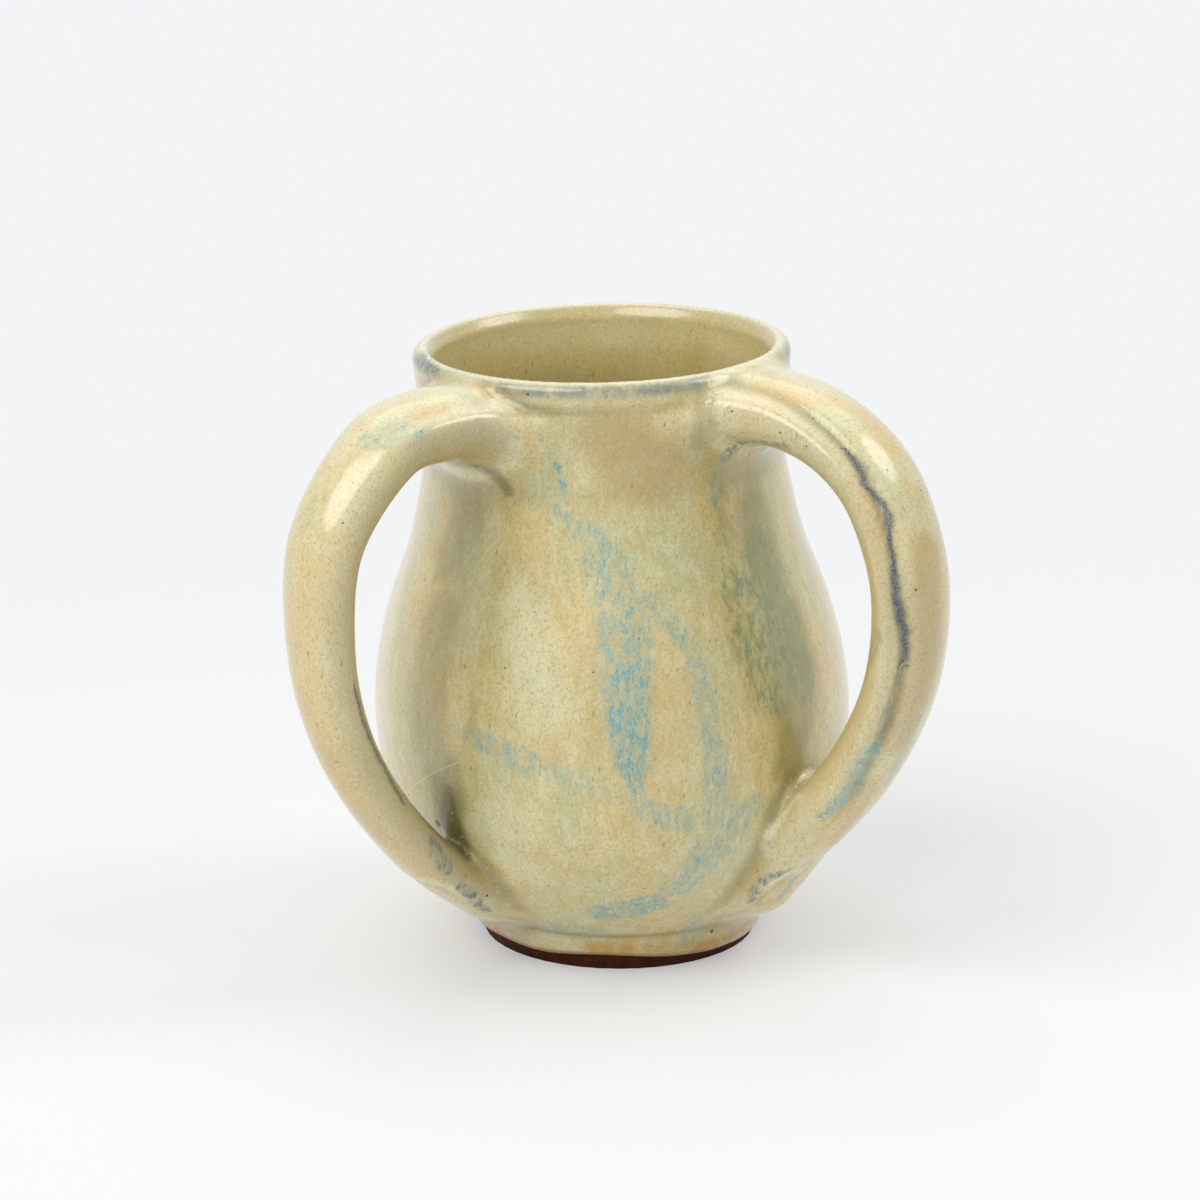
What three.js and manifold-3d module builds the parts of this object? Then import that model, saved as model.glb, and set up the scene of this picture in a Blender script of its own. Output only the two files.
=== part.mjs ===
// Hand washing cup: a thrown stoneware cup with two pulled handles set forward of its sides.
// Millimetres, +Z up, the handles towards -Y. The foot rests on z = 0.
import * as THREE from 'three';
import Module from 'manifold-3d';
import { mergeVertices } from 'three/addons/utils/BufferGeometryUtils.js';

const wasm = await Module();
wasm.setup();

// Cup
const cupHeight = 140;
const rimRadius = 43.1;
const lipThickness = 5.5;
const lipInsideHeight = 6;
const lipInsideDegrees = 65;
const neckRadius = 41.4;
const neckBelowRim = 22;
const bellyRadius = 55;
const bellyHeight = 51;
const wallThickness = 5.4;
const floorThickness = 7;

// Foot
const footContactRadius = 31.6;
const footHeight = 9.3;
const footTopRadius = 35.5;
const glazeLineRadius = 33.6;
const glazeLineHeight = 3.2;
const footRingWidth = 5;
const recessDepth = 7.4;

// Glaze and joints
const glazeThickness = 0.7;
const skinGap = 0.05;
const jointGap = 0.3;

// The whole cup leans a little to its left, and its rim is lower on that side
const rimShift = 4.2;
const rimDrop = 2.0;

// Handles: turned this far from straight ahead, with reach from the axis to the centre line
const leftHandle = {
  side: -1,
  turnDegrees: 45,
  reach: 88.3,
  upperJointBelowRim: 11.7,
  lowerJointHeight: 15,
  depthTop: 17.8,
  depthMiddle: 12.4,
  depthBottom: 12.4,
  widthTop: 26,
  widthMiddle: 17.4,
  widthBottom: 15.5,
  flareTop: 6,
  flareBottom: 0.5,
  // centre line, [share of the way out, share of the way up], top joint to bottom joint
  bend: [[0, 1], [0.28, 1.019], [0.603, 0.991], [0.938, 0.84], [1, 0.643],
    [0.932, 0.468], [0.76, 0.306], [0.5, 0.15], [0.266, 0.055], [0.127, 0.012]],
  // ridge above the thumb wipe at the lower end, [share of the length, degrees towards the front]
  wipeRidge: [[0.8, -10], [0.82, 25], [0.836, 51], [0.87, 58], [0.9, 63], [0.95, 70]],
  wipeDepth: 0.8,
  // valley pressed along the handle's upper end and the roll that it leaves in front
  valley: [[0, 40], [0.08, 43], [0.16, 42], [0.2, 30]],
  valleyDepth: 0.5,
  rollHeight: 0.9,
  valleyEnd: 0.26,
};
const rightHandle = {
  side: 1,
  turnDegrees: 52,
  reach: 84.1,
  upperJointBelowRim: 8.3,
  lowerJointHeight: 15.5,
  depthTop: 16.2,
  depthMiddle: 14.3,
  depthBottom: 15.6,
  widthTop: 26,
  widthMiddle: 22.4,
  widthBottom: 22,
  flareTop: 10,
  flareBottom: 3,
  bend: [[0, 1], [0.4, 0.981], [0.7, 0.925], [0.893, 0.833], [1, 0.68],
    [0.938, 0.492], [0.715, 0.312], [0.412, 0.161], [0.204, 0.052], [0.119, 0.017]],
  wipeRidge: [[0.79, 0], [0.82, 28], [0.844, 43], [0.87, 52], [0.9, 59], [0.95, 68]],
  wipeDepth: 1.2,
  valley: [[0, 36], [0.1, 41], [0.17, 50], [0.26, 55], [0.35, 62], [0.4, 63], [0.46, 54], [0.65, 54], [0.74, 48]],
  valleyDepth: 1.3,
  rollHeight: 0.8,
  valleyEnd: 0.78,
};

// Share of a handle's length over which the flare at each joint fades out
const flareShare = 0.2;

// Relief of the handles, in degrees round the section
const valleyHalfWidth = 12;
const rollBesideValley = 24;
const rollHalfWidth = 14;
const valleyFadeShare = 0.12;
const wipeEdge = 16;
const wipeFar = 110;

// Fineness
const turnSteps = 44;
const bodySteps = 15;
const lipSteps = 6;
const insideSteps = 11;
const handleSteps = 26;
const sectionSteps = 30;

// Derived places
const lipRadius = lipThickness / 2;
const lipCentre = new THREE.Vector2(rimRadius - lipRadius, cupHeight - lipRadius);
const neckHeight = cupHeight - neckBelowRim;
const insideFloor = recessDepth + floorThickness;
const upperJointRadius = neckRadius - wallThickness / 4;
const lowerJointRadius = footTopRadius - wallThickness / 2;

function between(low, high, share) {
  return low + (high - low) * share;
}

// Seen outside of the cup above the foot, [share of the way up, share of the way out]
function bodyCurve() {
  const footToBelly = [[0, 0], [0.257, 0.437], [0.616, 0.879]];
  const bellyToNeck = [[0, 0], [0.209, 0.055], [0.433, 0.311], [0.657, 0.707], [0.881, 0.956], [1, 1]];
  const points = [];
  for (const [up, out] of footToBelly) {
    points.push(new THREE.Vector2(
      between(footTopRadius, bellyRadius, out),
      between(footHeight, bellyHeight, up)));
  }
  for (const [up, out] of bellyToNeck) {
    points.push(new THREE.Vector2(
      between(bellyRadius, neckRadius, out),
      between(bellyHeight, neckHeight, up)));
  }
  points.push(new THREE.Vector2(rimRadius, lipCentre.y));
  return new THREE.SplineCurve(points).getSpacedPoints(bodySteps);
}

// Over the lip from the outside to the inside, where it slopes off more gently
function lipCurve() {
  const points = [];
  for (let step = 1; step <= lipSteps; step += 1) {
    const quarters = step / (lipSteps / 2);
    const inner = quarters > 1;
    const degrees = inner ? 90 + (quarters - 1) * lipInsideDegrees : 90 * quarters;
    const angle = THREE.MathUtils.degToRad(degrees);
    const rise = inner ? lipInsideHeight : lipRadius;
    points.push(new THREE.Vector2(
      lipCentre.x + lipRadius * Math.cos(angle),
      cupHeight - rise + rise * Math.sin(angle)));
  }
  return points;
}

// Seen inside of the cup from just under the lip to the middle of the floor
function insideCurve() {
  const bellyInside = bellyRadius - wallThickness;
  const neckInside = neckRadius - wallThickness;
  const curve = new THREE.SplineCurve([
    lipCurve().at(-1),
    new THREE.Vector2(neckInside, neckHeight),
    new THREE.Vector2(between(neckInside, bellyInside, 0.69), between(bellyHeight, neckHeight, 0.433)),
    new THREE.Vector2(bellyInside, bellyHeight),
    new THREE.Vector2(between(0, bellyInside, 0.78), between(insideFloor, bellyHeight, 0.3)),
    new THREE.Vector2(between(0, bellyInside, 0.42), between(insideFloor, bellyHeight, 0.02)),
    new THREE.Vector2(0, insideFloor),
  ]);
  return curve.getSpacedPoints(insideSteps).slice(1);
}

// Moves each point of an outline to its left by a distance, seen along the outline
function offset(points, distance) {
  return points.map((point, index) => {
    const before = points[Math.max(index - 1, 0)];
    const after = points[Math.min(index + 1, points.length - 1)];
    const along = after.clone().sub(before).normalize();
    const radius = point.x - along.y * distance;
    const onAxis = point.x === 0;
    return new THREE.Vector2(onAxis ? 0 : radius, point.y + (onAxis ? 1 : along.x) * distance);
  });
}

// The seen outline from the glaze line on the foot, over the lip, to the middle of the inside floor
const seen = [
  new THREE.Vector2(glazeLineRadius, glazeLineHeight),
  ...bodyCurve(),
  ...lipCurve(),
  ...insideCurve(),
];
const crease = 1;
const lipTop = crease + bodySteps + lipSteps / 2;
const lipEnd = crease + bodySteps + lipSteps;
const glazeBack = offset(seen, glazeThickness);
const clayFace = offset(seen, glazeThickness + skinGap);

// Radius of the clay of the foot above the glaze line
function clayFootRadius(height) {
  const low = clayFace[0];
  const high = clayFace[crease];
  return between(low.x, high.x, (height - low.y) / (high.y - low.y));
}

function toSolid(geometry) {
  const bare = new THREE.BufferGeometry();
  bare.setAttribute('position', geometry.getAttribute('position'));
  bare.setIndex(geometry.getIndex());
  const merged = mergeVertices(bare, 1e-5);
  return new wasm.Manifold(new wasm.Mesh({
    numProp: 3,
    vertProperties: new Float32Array(merged.getAttribute('position').array),
    triVerts: new Uint32Array(merged.getIndex().array),
  }));
}

// A turned solid from a profile that runs upwards on its outside
function turned(points) {
  const geometry = new THREE.LatheGeometry(points, turnSteps);
  geometry.rotateX(Math.PI / 2);
  return toSolid(geometry);
}

// Everything inside the seen cup, grown by a distance, for cutting the handles to fit
function cupBulk(growth) {
  const side = offset([new THREE.Vector2(footContactRadius, 0), ...seen], -growth).slice(0, lipTop + 2);
  return turned([
    new THREE.Vector2(0, side[0].y),
    ...side,
    new THREE.Vector2(0, side[side.length - 1].y),
  ]);
}

// A size that runs smoothly through its values at the top, the middle and the bottom
function taper(top, middle, bottom, share) {
  return 2 * top * (share - 0.5) * (share - 1)
    + 4 * middle * share * (1 - share)
    + 2 * bottom * share * (share - 0.5);
}

// How far a joint's flare has faded, at a share of the handle's length from that joint
function flareLeft(share) {
  return Math.max(1 - share / flareShare, 0) ** 2;
}

// Width of the oval section, wider where it is smoothed onto the cup
function handleWidth(handle, share) {
  return taper(handle.widthTop, handle.widthMiddle, handle.widthBottom, share)
    + handle.flareTop * flareLeft(share)
    + handle.flareBottom * flareLeft(1 - share);
}

// How far out a flat end of a width may start and still be inside a round wall
function buriedEnd(wallRadius, width) {
  return Math.sqrt(wallRadius ** 2 - (width / 2) ** 2);
}

// Centre line, in the handle's own upright plane, x out from the axis and y up
function handleLine(handle) {
  const topHeight = cupHeight - handle.upperJointBelowRim;
  const points = handle.bend.map(([out, up]) => {
    const atCup = between(lowerJointRadius, upperJointRadius, up);
    return new THREE.Vector2(
      between(atCup, handle.reach, out),
      between(handle.lowerJointHeight, topHeight, up));
  });
  return new THREE.SplineCurve([
    new THREE.Vector2(buriedEnd(upperJointRadius, handleWidth(handle, 0)), topHeight),
    ...points,
    new THREE.Vector2(buriedEnd(lowerJointRadius, handleWidth(handle, 1)), handle.lowerJointHeight),
  ]);
}

// Value at a place along a list of [place, value] pairs, held at both ends
function along(pairs, place) {
  for (let index = 1; index < pairs.length; index += 1) {
    const [start, low] = pairs[index - 1];
    const [end, high] = pairs[index];
    if (place <= end) {
      return between(low, high, Math.max((place - start) / (end - start), 0));
    }
  }
  return pairs[pairs.length - 1][1];
}

// The same direction between half a turn back and half a turn on
function wrapped(degrees) {
  return THREE.MathUtils.euclideanModulo(degrees + 180, 360) - 180;
}

// Height over the plain oval, at a share of the length and degrees round the section towards the front
function relief(handle, share, degrees) {
  const fromValley = degrees - along(handle.valley, share);
  const valleyFade = THREE.MathUtils.clamp((handle.valleyEnd - share) / valleyFadeShare, 0, 1);
  const valley = Math.exp(-((fromValley / valleyHalfWidth) ** 2));
  const roll = Math.exp(-(((fromValley - rollBesideValley) / rollHalfWidth) ** 2));
  const pressed = handle.rollHeight * roll - handle.valleyDepth * valley;
  const underRidge = along(handle.wipeRidge, share) - degrees;
  const wipeStart = THREE.MathUtils.smoothstep(share, handle.wipeRidge[0][0], handle.wipeRidge[2][0]);
  const wipe = THREE.MathUtils.smoothstep(underRidge, 0, wipeEdge)
    * (1 - THREE.MathUtils.smoothstep(underRidge, wipeEdge, wipeFar));
  return valleyFade * pressed - wipeStart * wipe * handle.wipeDepth;
}

// Solid of the handle with its oval section grown by a distance
function handleBulk(handle, growth) {
  const line = handleLine(handle);
  const turn = THREE.MathUtils.degToRad(handle.turnDegrees);
  const outward = new THREE.Vector3(handle.side * Math.sin(turn), -Math.cos(turn), 0);
  const upward = new THREE.Vector3(0, 0, 1);
  const across = new THREE.Vector3().crossVectors(outward, upward);
  const corners = [];
  for (let step = 0; step <= handleSteps; step += 1) {
    const share = step / handleSteps;
    const centre = line.getPointAt(share);
    const heading = line.getTangentAt(share);
    const depth = taper(handle.depthTop, handle.depthMiddle, handle.depthBottom, share) / 2 + growth;
    const width = handleWidth(handle, share) / 2 + growth;
    // one row of corners follows the bottom of the valley
    const firstDegrees = handle.side * along(handle.valley, share);
    for (let turnStep = 0; turnStep < sectionSteps; turnStep += 1) {
      const degrees = firstDegrees + 360 * (turnStep / sectionSteps);
      const angle = THREE.MathUtils.degToRad(degrees);
      const height = relief(handle, share, wrapped(handle.side * degrees));
      const inPlane = (depth + height) * Math.cos(angle);
      const corner = new THREE.Vector3()
        .addScaledVector(outward, centre.x - heading.y * inPlane)
        .addScaledVector(upward, centre.y + heading.x * inPlane)
        .addScaledVector(across, (width + height) * Math.sin(angle));
      corners.push(corner);
    }
  }
  return toSolid(tubeGeometry(corners));
}

// Closes rings of corners, one after another, into a capped tube
function tubeGeometry(corners) {
  const faces = [];
  for (let step = 0; step < handleSteps; step += 1) {
    for (let turnStep = 0; turnStep < sectionSteps; turnStep += 1) {
      const next = (turnStep + 1) % sectionSteps;
      const a = step * sectionSteps + turnStep;
      const b = step * sectionSteps + next;
      const c = a + sectionSteps;
      const d = b + sectionSteps;
      faces.push(a, b, c, b, d, c);
    }
  }
  const last = handleSteps * sectionSteps;
  for (let turnStep = 1; turnStep < sectionSteps - 1; turnStep += 1) {
    faces.push(0, turnStep + 1, turnStep);
    faces.push(last, last + turnStep, last + turnStep + 1);
  }
  const geometry = new THREE.BufferGeometry().setFromPoints(corners);
  geometry.setIndex(faces);
  return geometry;
}

// Stoneware walls and floor, down to the top of the foot ring
function cupBody() {
  return turned([
    new THREE.Vector2(0, recessDepth),
    new THREE.Vector2(clayFootRadius(recessDepth), recessDepth),
    ...clayFace.slice(crease),
  ]);
}

// Bare ring under the floor, with a slope from the ground up to the glaze line
function footRing() {
  const top = recessDepth - skinGap;
  const inner = footContactRadius - footRingWidth;
  return turned([
    new THREE.Vector2(inner, 0),
    new THREE.Vector2(footContactRadius, 0),
    clayFace[0],
    new THREE.Vector2(clayFootRadius(top), top),
    new THREE.Vector2(inner, top),
    new THREE.Vector2(inner, 0),
  ]);
}

// Coat from the glaze line on the foot, up the outside and over the lip, open for both handles
function outerGlaze() {
  const front = seen.slice(0, lipEnd + 1);
  const back = glazeBack.slice(0, lipEnd + 1).reverse();
  return turned([...front, ...back, front[0]])
    .subtract(handleBulk(leftHandle, jointGap - glazeThickness))
    .subtract(handleBulk(rightHandle, jointGap - glazeThickness));
}

// An outline from the lip's inner edge to the axis, begun a joint's gap below that edge
function belowLip(points) {
  const [edge, next] = points.slice(lipEnd, lipEnd + 2);
  const start = edge.clone().lerp(next, jointGap / edge.distanceTo(next));
  return [start, ...points.slice(lipEnd + 1)];
}

// Coat on the inside, from the lip to the middle of the floor
function liningGlaze() {
  return turned([...belowLip(glazeBack).reverse(), ...belowLip(seen)]);
}

function handleClay(handle) {
  return handleBulk(handle, -glazeThickness - skinGap).subtract(cupBulk(jointGap - glazeThickness));
}

function handleGlaze(handle) {
  return handleBulk(handle, 0)
    .subtract(handleBulk(handle, -glazeThickness))
    .subtract(cupBulk(jointGap));
}

function leanOver(positions) {
  for (let index = 0; index < positions.count; index += 1) {
    const x = positions.getX(index);
    const z = positions.getZ(index);
    const rise = z / cupHeight;
    positions.setX(index, x - rimShift * rise);
    positions.setZ(index, z + rimDrop * rise * x / (2 * rimRadius));
  }
}

const clay = { color: 0x4a2c1e, roughness: 0.85 };
const glaze = { color: 0xcdc39a, roughness: 0.25 };
const lining = { color: 0xa8a277, roughness: 0.25 };

function addPiece(group, name, solid, look) {
  const mesh = solid.getMesh();
  const geometry = new THREE.BufferGeometry();
  geometry.setAttribute('position', new THREE.BufferAttribute(new Float32Array(mesh.vertProperties), 3));
  geometry.setIndex(new THREE.BufferAttribute(new Uint32Array(mesh.triVerts), 1));
  leanOver(geometry.getAttribute('position'));
  geometry.computeVertexNormals();
  const piece = new THREE.Mesh(geometry, new THREE.MeshStandardMaterial(look));
  piece.name = name;
  group.add(piece);
}

const group = new THREE.Group();
group.name = 'hand_washing_cup';
addPiece(group, 'cup_body', cupBody(), clay);
addPiece(group, 'foot_ring', footRing(), clay);
addPiece(group, 'left_handle', handleClay(leftHandle), clay);
addPiece(group, 'right_handle', handleClay(rightHandle), clay);
addPiece(group, 'outer_glaze', outerGlaze(), glaze);
addPiece(group, 'lining_glaze', liningGlaze(), lining);
addPiece(group, 'left_handle_glaze', handleGlaze(leftHandle), glaze);
addPiece(group, 'right_handle_glaze', handleGlaze(rightHandle), glaze);

// The origin is the middle of the bounding box, on the ground
const box = new THREE.Box3().setFromObject(group);
const middle = box.getCenter(new THREE.Vector3());
for (const piece of group.children) {
  piece.geometry.translate(-middle.x, -middle.y, 0);
}

export default group;
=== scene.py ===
# Hand washing cup: one poured glaze over a thrown cup and its two pulled handles, on bare dark stoneware.
import math

import bmesh
import bpy
import numpy as np
from mathutils import Matrix, Vector


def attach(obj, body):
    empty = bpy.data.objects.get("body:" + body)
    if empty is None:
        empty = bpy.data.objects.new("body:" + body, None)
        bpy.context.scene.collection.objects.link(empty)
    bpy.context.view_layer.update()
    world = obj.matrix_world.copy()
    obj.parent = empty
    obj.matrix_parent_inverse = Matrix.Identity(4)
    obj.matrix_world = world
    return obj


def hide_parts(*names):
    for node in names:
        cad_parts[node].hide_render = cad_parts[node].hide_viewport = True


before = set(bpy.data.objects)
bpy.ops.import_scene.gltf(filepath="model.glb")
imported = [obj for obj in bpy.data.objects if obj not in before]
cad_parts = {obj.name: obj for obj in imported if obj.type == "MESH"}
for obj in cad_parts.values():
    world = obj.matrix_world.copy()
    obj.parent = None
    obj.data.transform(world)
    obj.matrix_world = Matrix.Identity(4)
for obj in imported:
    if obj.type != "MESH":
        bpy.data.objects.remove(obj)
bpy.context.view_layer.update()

# Millimetres, as in the part's source, until a mesh is finished
MILLIMETRE = 0.001

# Cup
CUP_HEIGHT = 140.0
RIM_RADIUS = 43.1
LIP_THICKNESS = 5.5
LIP_INSIDE_HEIGHT = 6.0
LIP_INSIDE_DEGREES = 65.0
LIP_BEVEL_RISE = 0.8
NECK_RADIUS = 41.4
NECK_BELOW_RIM = 22.0
BELLY_RADIUS = 55.0
BELLY_HEIGHT = 51.0
WALL_THICKNESS = 5.4
FLOOR_THICKNESS = 7.0

# Foot
FOOT_CONTACT_RADIUS = 31.6
FOOT_RING_WIDTH = 5.0
FOOT_HEIGHT = 9.3
FOOT_TOP_RADIUS = 35.5
GLAZE_LINE_RADIUS = 33.6
GLAZE_LINE_HEIGHT = 3.2
RECESS_DEPTH = 7.4

# The cup leans a little to its left, and its rim is lower on that side
RIM_SHIFT = 4.2
RIM_DROP = 2.0

# Glaze. Both coats lie a hair inside the solids' skin; the outer one is turned in by its thickness at its
# edges, and the lining reaches up a little way behind it
COAT_THICKNESS = 0.62
COAT_INSET = 0.1
LINING_TOP = 104.0
LINING_INSET = 0.08
LINING_OVERLAP = 1.0

# The glaze line wanders round the foot. Each run is how far down it goes, up where below zero, then its
# place round the foot from the front and its half width, in radians
GLAZE_LINE_DROP = 0.6
GLAZE_LINE_WAVE = 0.1
GLAZE_RUNS = [(-1.0, -0.95, 0.35), (-1.6, -0.05, 0.42), (1.1, 0.95, 0.35)]
GLAZE_LINE_FADE = (4.5, 11)

# Handles. The bend is [share of the way out, share of the way up]; the wipe's ridge and the valley are
# [share of the length, degrees round the section towards the front]; the inner shade is how strongly the
# side that looks at the cup is darkened
LEFT_HANDLE = {
    "side": -1,
    "turn": 45.0,
    "reach": 88.3,
    "upper_joint_below_rim": 11.7,
    "lower_joint_height": 15.0,
    "depth": (17.8, 12.4, 12.4),
    "width": (26.0, 17.4, 15.5),
    "flare_top": 6.0,
    "flare_bottom": 0.5,
    "bend": [
        (0, 1), (0.28, 1.019), (0.603, 0.991), (0.938, 0.84), (1, 0.643),
        (0.932, 0.468), (0.76, 0.306), (0.5, 0.15), (0.266, 0.055), (0.127, 0.012),
    ],
    "wipe_ridge": [(0.8, -10), (0.82, 25), (0.836, 51), (0.87, 58), (0.9, 63), (0.95, 70)],
    "wipe_depth": 0.8,
    "inner_shade": 1.0,
    "valley": [(0, 40), (0.08, 43), (0.16, 42), (0.2, 30)],
    "valley_depth": 0.5,
    "roll_height": 0.9,
    "valley_end": 0.26,
}
RIGHT_HANDLE = {
    "side": 1,
    "turn": 52.0,
    "reach": 84.1,
    "upper_joint_below_rim": 8.3,
    "lower_joint_height": 15.5,
    "depth": (16.2, 14.3, 15.6),
    "width": (26.0, 22.4, 22.0),
    "flare_top": 10.0,
    "flare_bottom": 3.0,
    "bend": [
        (0, 1), (0.4, 0.981), (0.7, 0.925), (0.893, 0.833), (1, 0.68),
        (0.938, 0.492), (0.715, 0.312), (0.412, 0.161), (0.204, 0.052), (0.119, 0.017),
    ],
    "wipe_ridge": [(0.79, 0), (0.82, 28), (0.844, 43), (0.87, 52), (0.9, 59), (0.95, 68)],
    "wipe_depth": 1.2,
    "inner_shade": 0.4,
    "valley": [
        (0, 36), (0.1, 41), (0.17, 50), (0.26, 55), (0.35, 62),
        (0.4, 63), (0.46, 54), (0.65, 54), (0.74, 48),
    ],
    "valley_depth": 1.3,
    "roll_height": 0.8,
    "valley_end": 0.78,
}

# A handle widens over this share of its length at either end
FLARE_SHARE = 0.2

# Relief of the handles, in degrees round the section; the valley fades out over a share of the length
VALLEY_HALF_WIDTH = 12
ROLL_BESIDE_VALLEY = 24
ROLL_HALF_WIDTH = 14
VALLEY_FADE_SHARE = 0.12
WIPE_EDGE = 16
WIPE_FAR = 110

# How the glaze's colours are laid on. A stroke covers this share of its half width in full, and reaches
# this deep; a vein ends this far off, and its distance counts up to this many of its half widths
STROKE_PLATEAU = 0.35
PAINT_DEPTH = 5.0
VEIN_REACH = 3.0
FAR_FROM_VEIN = 60.0

# Hollows show as painted shade and ridges as paler glaze once they are evened out and strengthened
HOLLOW_ROUNDS = 6
HOLLOW_STRENGTH = 20

# Where the inside's colour, a handle's shade and the cup's own skin fade in or out: millimetres, shares of
# the handle's length, and degrees from its outer side
INSIDE_FADE = 2.0
ON_HANDLE_FADE = (2.5, 1)
SHADE_STARTS = (-0.01, 0.08)
SHADE_ENDS = (0.98, 0.88)
SHADE_TURNS = (25, 110)
OFF_HANDLE_FADE = (0.5, 3.5)

# The lip's colours, its bead and the painted shadow under the bead, below the rim
LIP_TOP_BELOW = (0.5, 0.1)
LIP_GREY_BELOW = 1.8
BEAD_BELOW = 4.8
UNDER_BEAD_BELOW = 6.8
INSIDE_BELOW = (1, 6)

# How far the clay is smoothed over at each joint, less near the lip
UPPER_FILLET = 11.0
LOWER_FILLET = 4.0
LIP_CLEARANCE = 9.0

# Camera, fitted to the outlines in the photo: lens and sensor, how far it sees in metres, its place from the
# middle of the foot, and how many degrees it looks down
CAMERA_LENS = 133.3
CAMERA_SENSOR = 36
CAMERA_REACH = 20
CAMERA_FROM_FOOT = (-4.46, -984.9, 364.7)
CAMERA_DOWN = 16.19

# Lamps in metres and watts, aimed at the cup's middle. Azimuth 0 is the camera's side, 90 the cup's right
LAMPS_AIM_HEIGHT = 0.07
LAMPS = {
    "key_softbox": {"azimuth": -48, "elevation": 50, "distance": 1.3, "size": (0.98, 0.82), "power": 8.8},
    "side_softbox": {"azimuth": 92, "elevation": 48, "distance": 1.3, "size": (0.72, 0.6), "power": 4.7},
    "top_softbox": {"azimuth": 180, "elevation": 70, "distance": 1.5, "size": (1.6, 1.6), "power": 7.0},
    "front_fill": {"azimuth": -10, "elevation": 25, "distance": 1.6, "size": (1.0, 1.0), "power": 1.2},
}

# Sky: how strongly it lights, and how much more of it is seen
SKY_LIGHT = 0.32
SKY_SEEN = 0.58

# Floor in metres: it shows the lamps' shadow near the cup and turns plain white farther off
FLOOR_HALF_WIDTH = 6
SHADOW_REACH = (0.08, 0.5)
WHITE_SHARE = (0.38, 1.0)
FLOOR_WHITE = (0.9, 0.908, 0.925, 1)
PAPER_SHADED = (0.885, 0.89, 0.895, 1)
PAPER_LIT = (0.9, 0.905, 0.91, 1)

# Fineness: the rough skin's grain in millimetres, then counts of steps and rounds
VOXEL = 1.03
TURN_STEPS = 96
TUBE_STEPS = 48
SECTION_STEPS = 24
CURVE_STEPS = 24
FOOT_EDGE_STEPS = 5
FOOT_SIDE_STEPS = 9
BODY_STEPS = 150
LIP_STEPS = 20
LIP_BEVEL_START = LIP_STEPS // 2 + 2
INSIDE_STEPS = 160
HANDLE_STEPS = 260
SETTLE_CYCLES = 4
SETTLE_ROUNDS = 4
RELAX_ROUNDS = 3
TRIM_ROUNDS = 12

# How much more than what shows is cut off the rough skin at first, so that it can settle
FOOT_CUT_MARGIN = 2.5
LINING_CUT_MARGIN = 4.0

# The first rough handles are leaner than the finished ones, which run on straight into the cup
ROUGH_SHARE = 0.85
BURIED_END = 12.0


def between(low, high, share):
    return low + (high - low) * share


def smooth_line(points, count):
    """Evenly spaced points on the curve that runs smoothly through the given ones."""
    points = np.array(points, float)
    last = len(points) - 1
    dense = []
    for index in range(last):
        before = points[max(index - 1, 0)]
        start = points[index]
        end = points[index + 1]
        after = points[min(index + 2, last)]
        leave = (end - before) / 2
        arrive = (after - start) / 2
        for share in np.linspace(0, 1, CURVE_STEPS, endpoint=index == last - 1):
            dense.append(
                (2 * start - 2 * end + leave + arrive) * share ** 3
                + (-3 * start + 3 * end - 2 * leave - arrive) * share ** 2
                + leave * share + start)
    dense = np.array(dense)
    lengths = np.concatenate([[0], np.cumsum(np.hypot(*np.diff(dense, axis=0).T))])
    wanted = np.linspace(0, lengths[-1], count)
    return np.column_stack([np.interp(wanted, lengths, dense[:, axis]) for axis in range(2)])


def foot_line():
    """The bare edge of the foot up to the glaze line, and the foot's glazed side above it."""
    glaze_line = (GLAZE_LINE_RADIUS, GLAZE_LINE_HEIGHT)
    edge = smooth_line([(FOOT_CONTACT_RADIUS, 0), glaze_line], FOOT_EDGE_STEPS)
    side = smooth_line([glaze_line, (FOOT_TOP_RADIUS, FOOT_HEIGHT)], FOOT_SIDE_STEPS)
    return np.vstack([edge, side[1:]])


def body_line():
    """Outside of the cup above the foot, radius and height."""
    foot_to_belly = [(0, 0), (0.257, 0.437), (0.616, 0.879)]
    belly_to_neck = [(0, 0), (0.209, 0.055), (0.433, 0.311), (0.657, 0.707), (0.881, 0.956), (1, 1)]
    points = []
    for up, out in foot_to_belly:
        points.append((between(FOOT_TOP_RADIUS, BELLY_RADIUS, out), between(FOOT_HEIGHT, BELLY_HEIGHT, up)))
    for up, out in belly_to_neck:
        points.append((
            between(BELLY_RADIUS, NECK_RADIUS, out),
            between(BELLY_HEIGHT, CUP_HEIGHT - NECK_BELOW_RIM, up)))
    points.append((RIM_RADIUS, CUP_HEIGHT - LIP_THICKNESS / 2))
    return smooth_line(points, BODY_STEPS)


def lip_line():
    """Over the lip from the outside to the inside, where a flat bevel slopes off."""
    radius = LIP_THICKNESS / 2
    quarters = np.linspace(0, 2, LIP_STEPS + 1)[1:]
    inner = quarters > 1
    angles = np.radians(np.where(inner, 90 + (quarters - 1) * LIP_INSIDE_DEGREES, 90 * quarters))
    rise = np.where(inner, LIP_INSIDE_HEIGHT, radius)
    line = np.column_stack([
        RIM_RADIUS - radius + radius * np.cos(angles),
        CUP_HEIGHT - rise + rise * np.sin(angles)])
    bevel_end = line[-1] + (0, LIP_BEVEL_RISE)
    line[LIP_BEVEL_START:] = np.linspace(line[LIP_BEVEL_START], bevel_end, LIP_STEPS - LIP_BEVEL_START)
    return line


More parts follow.
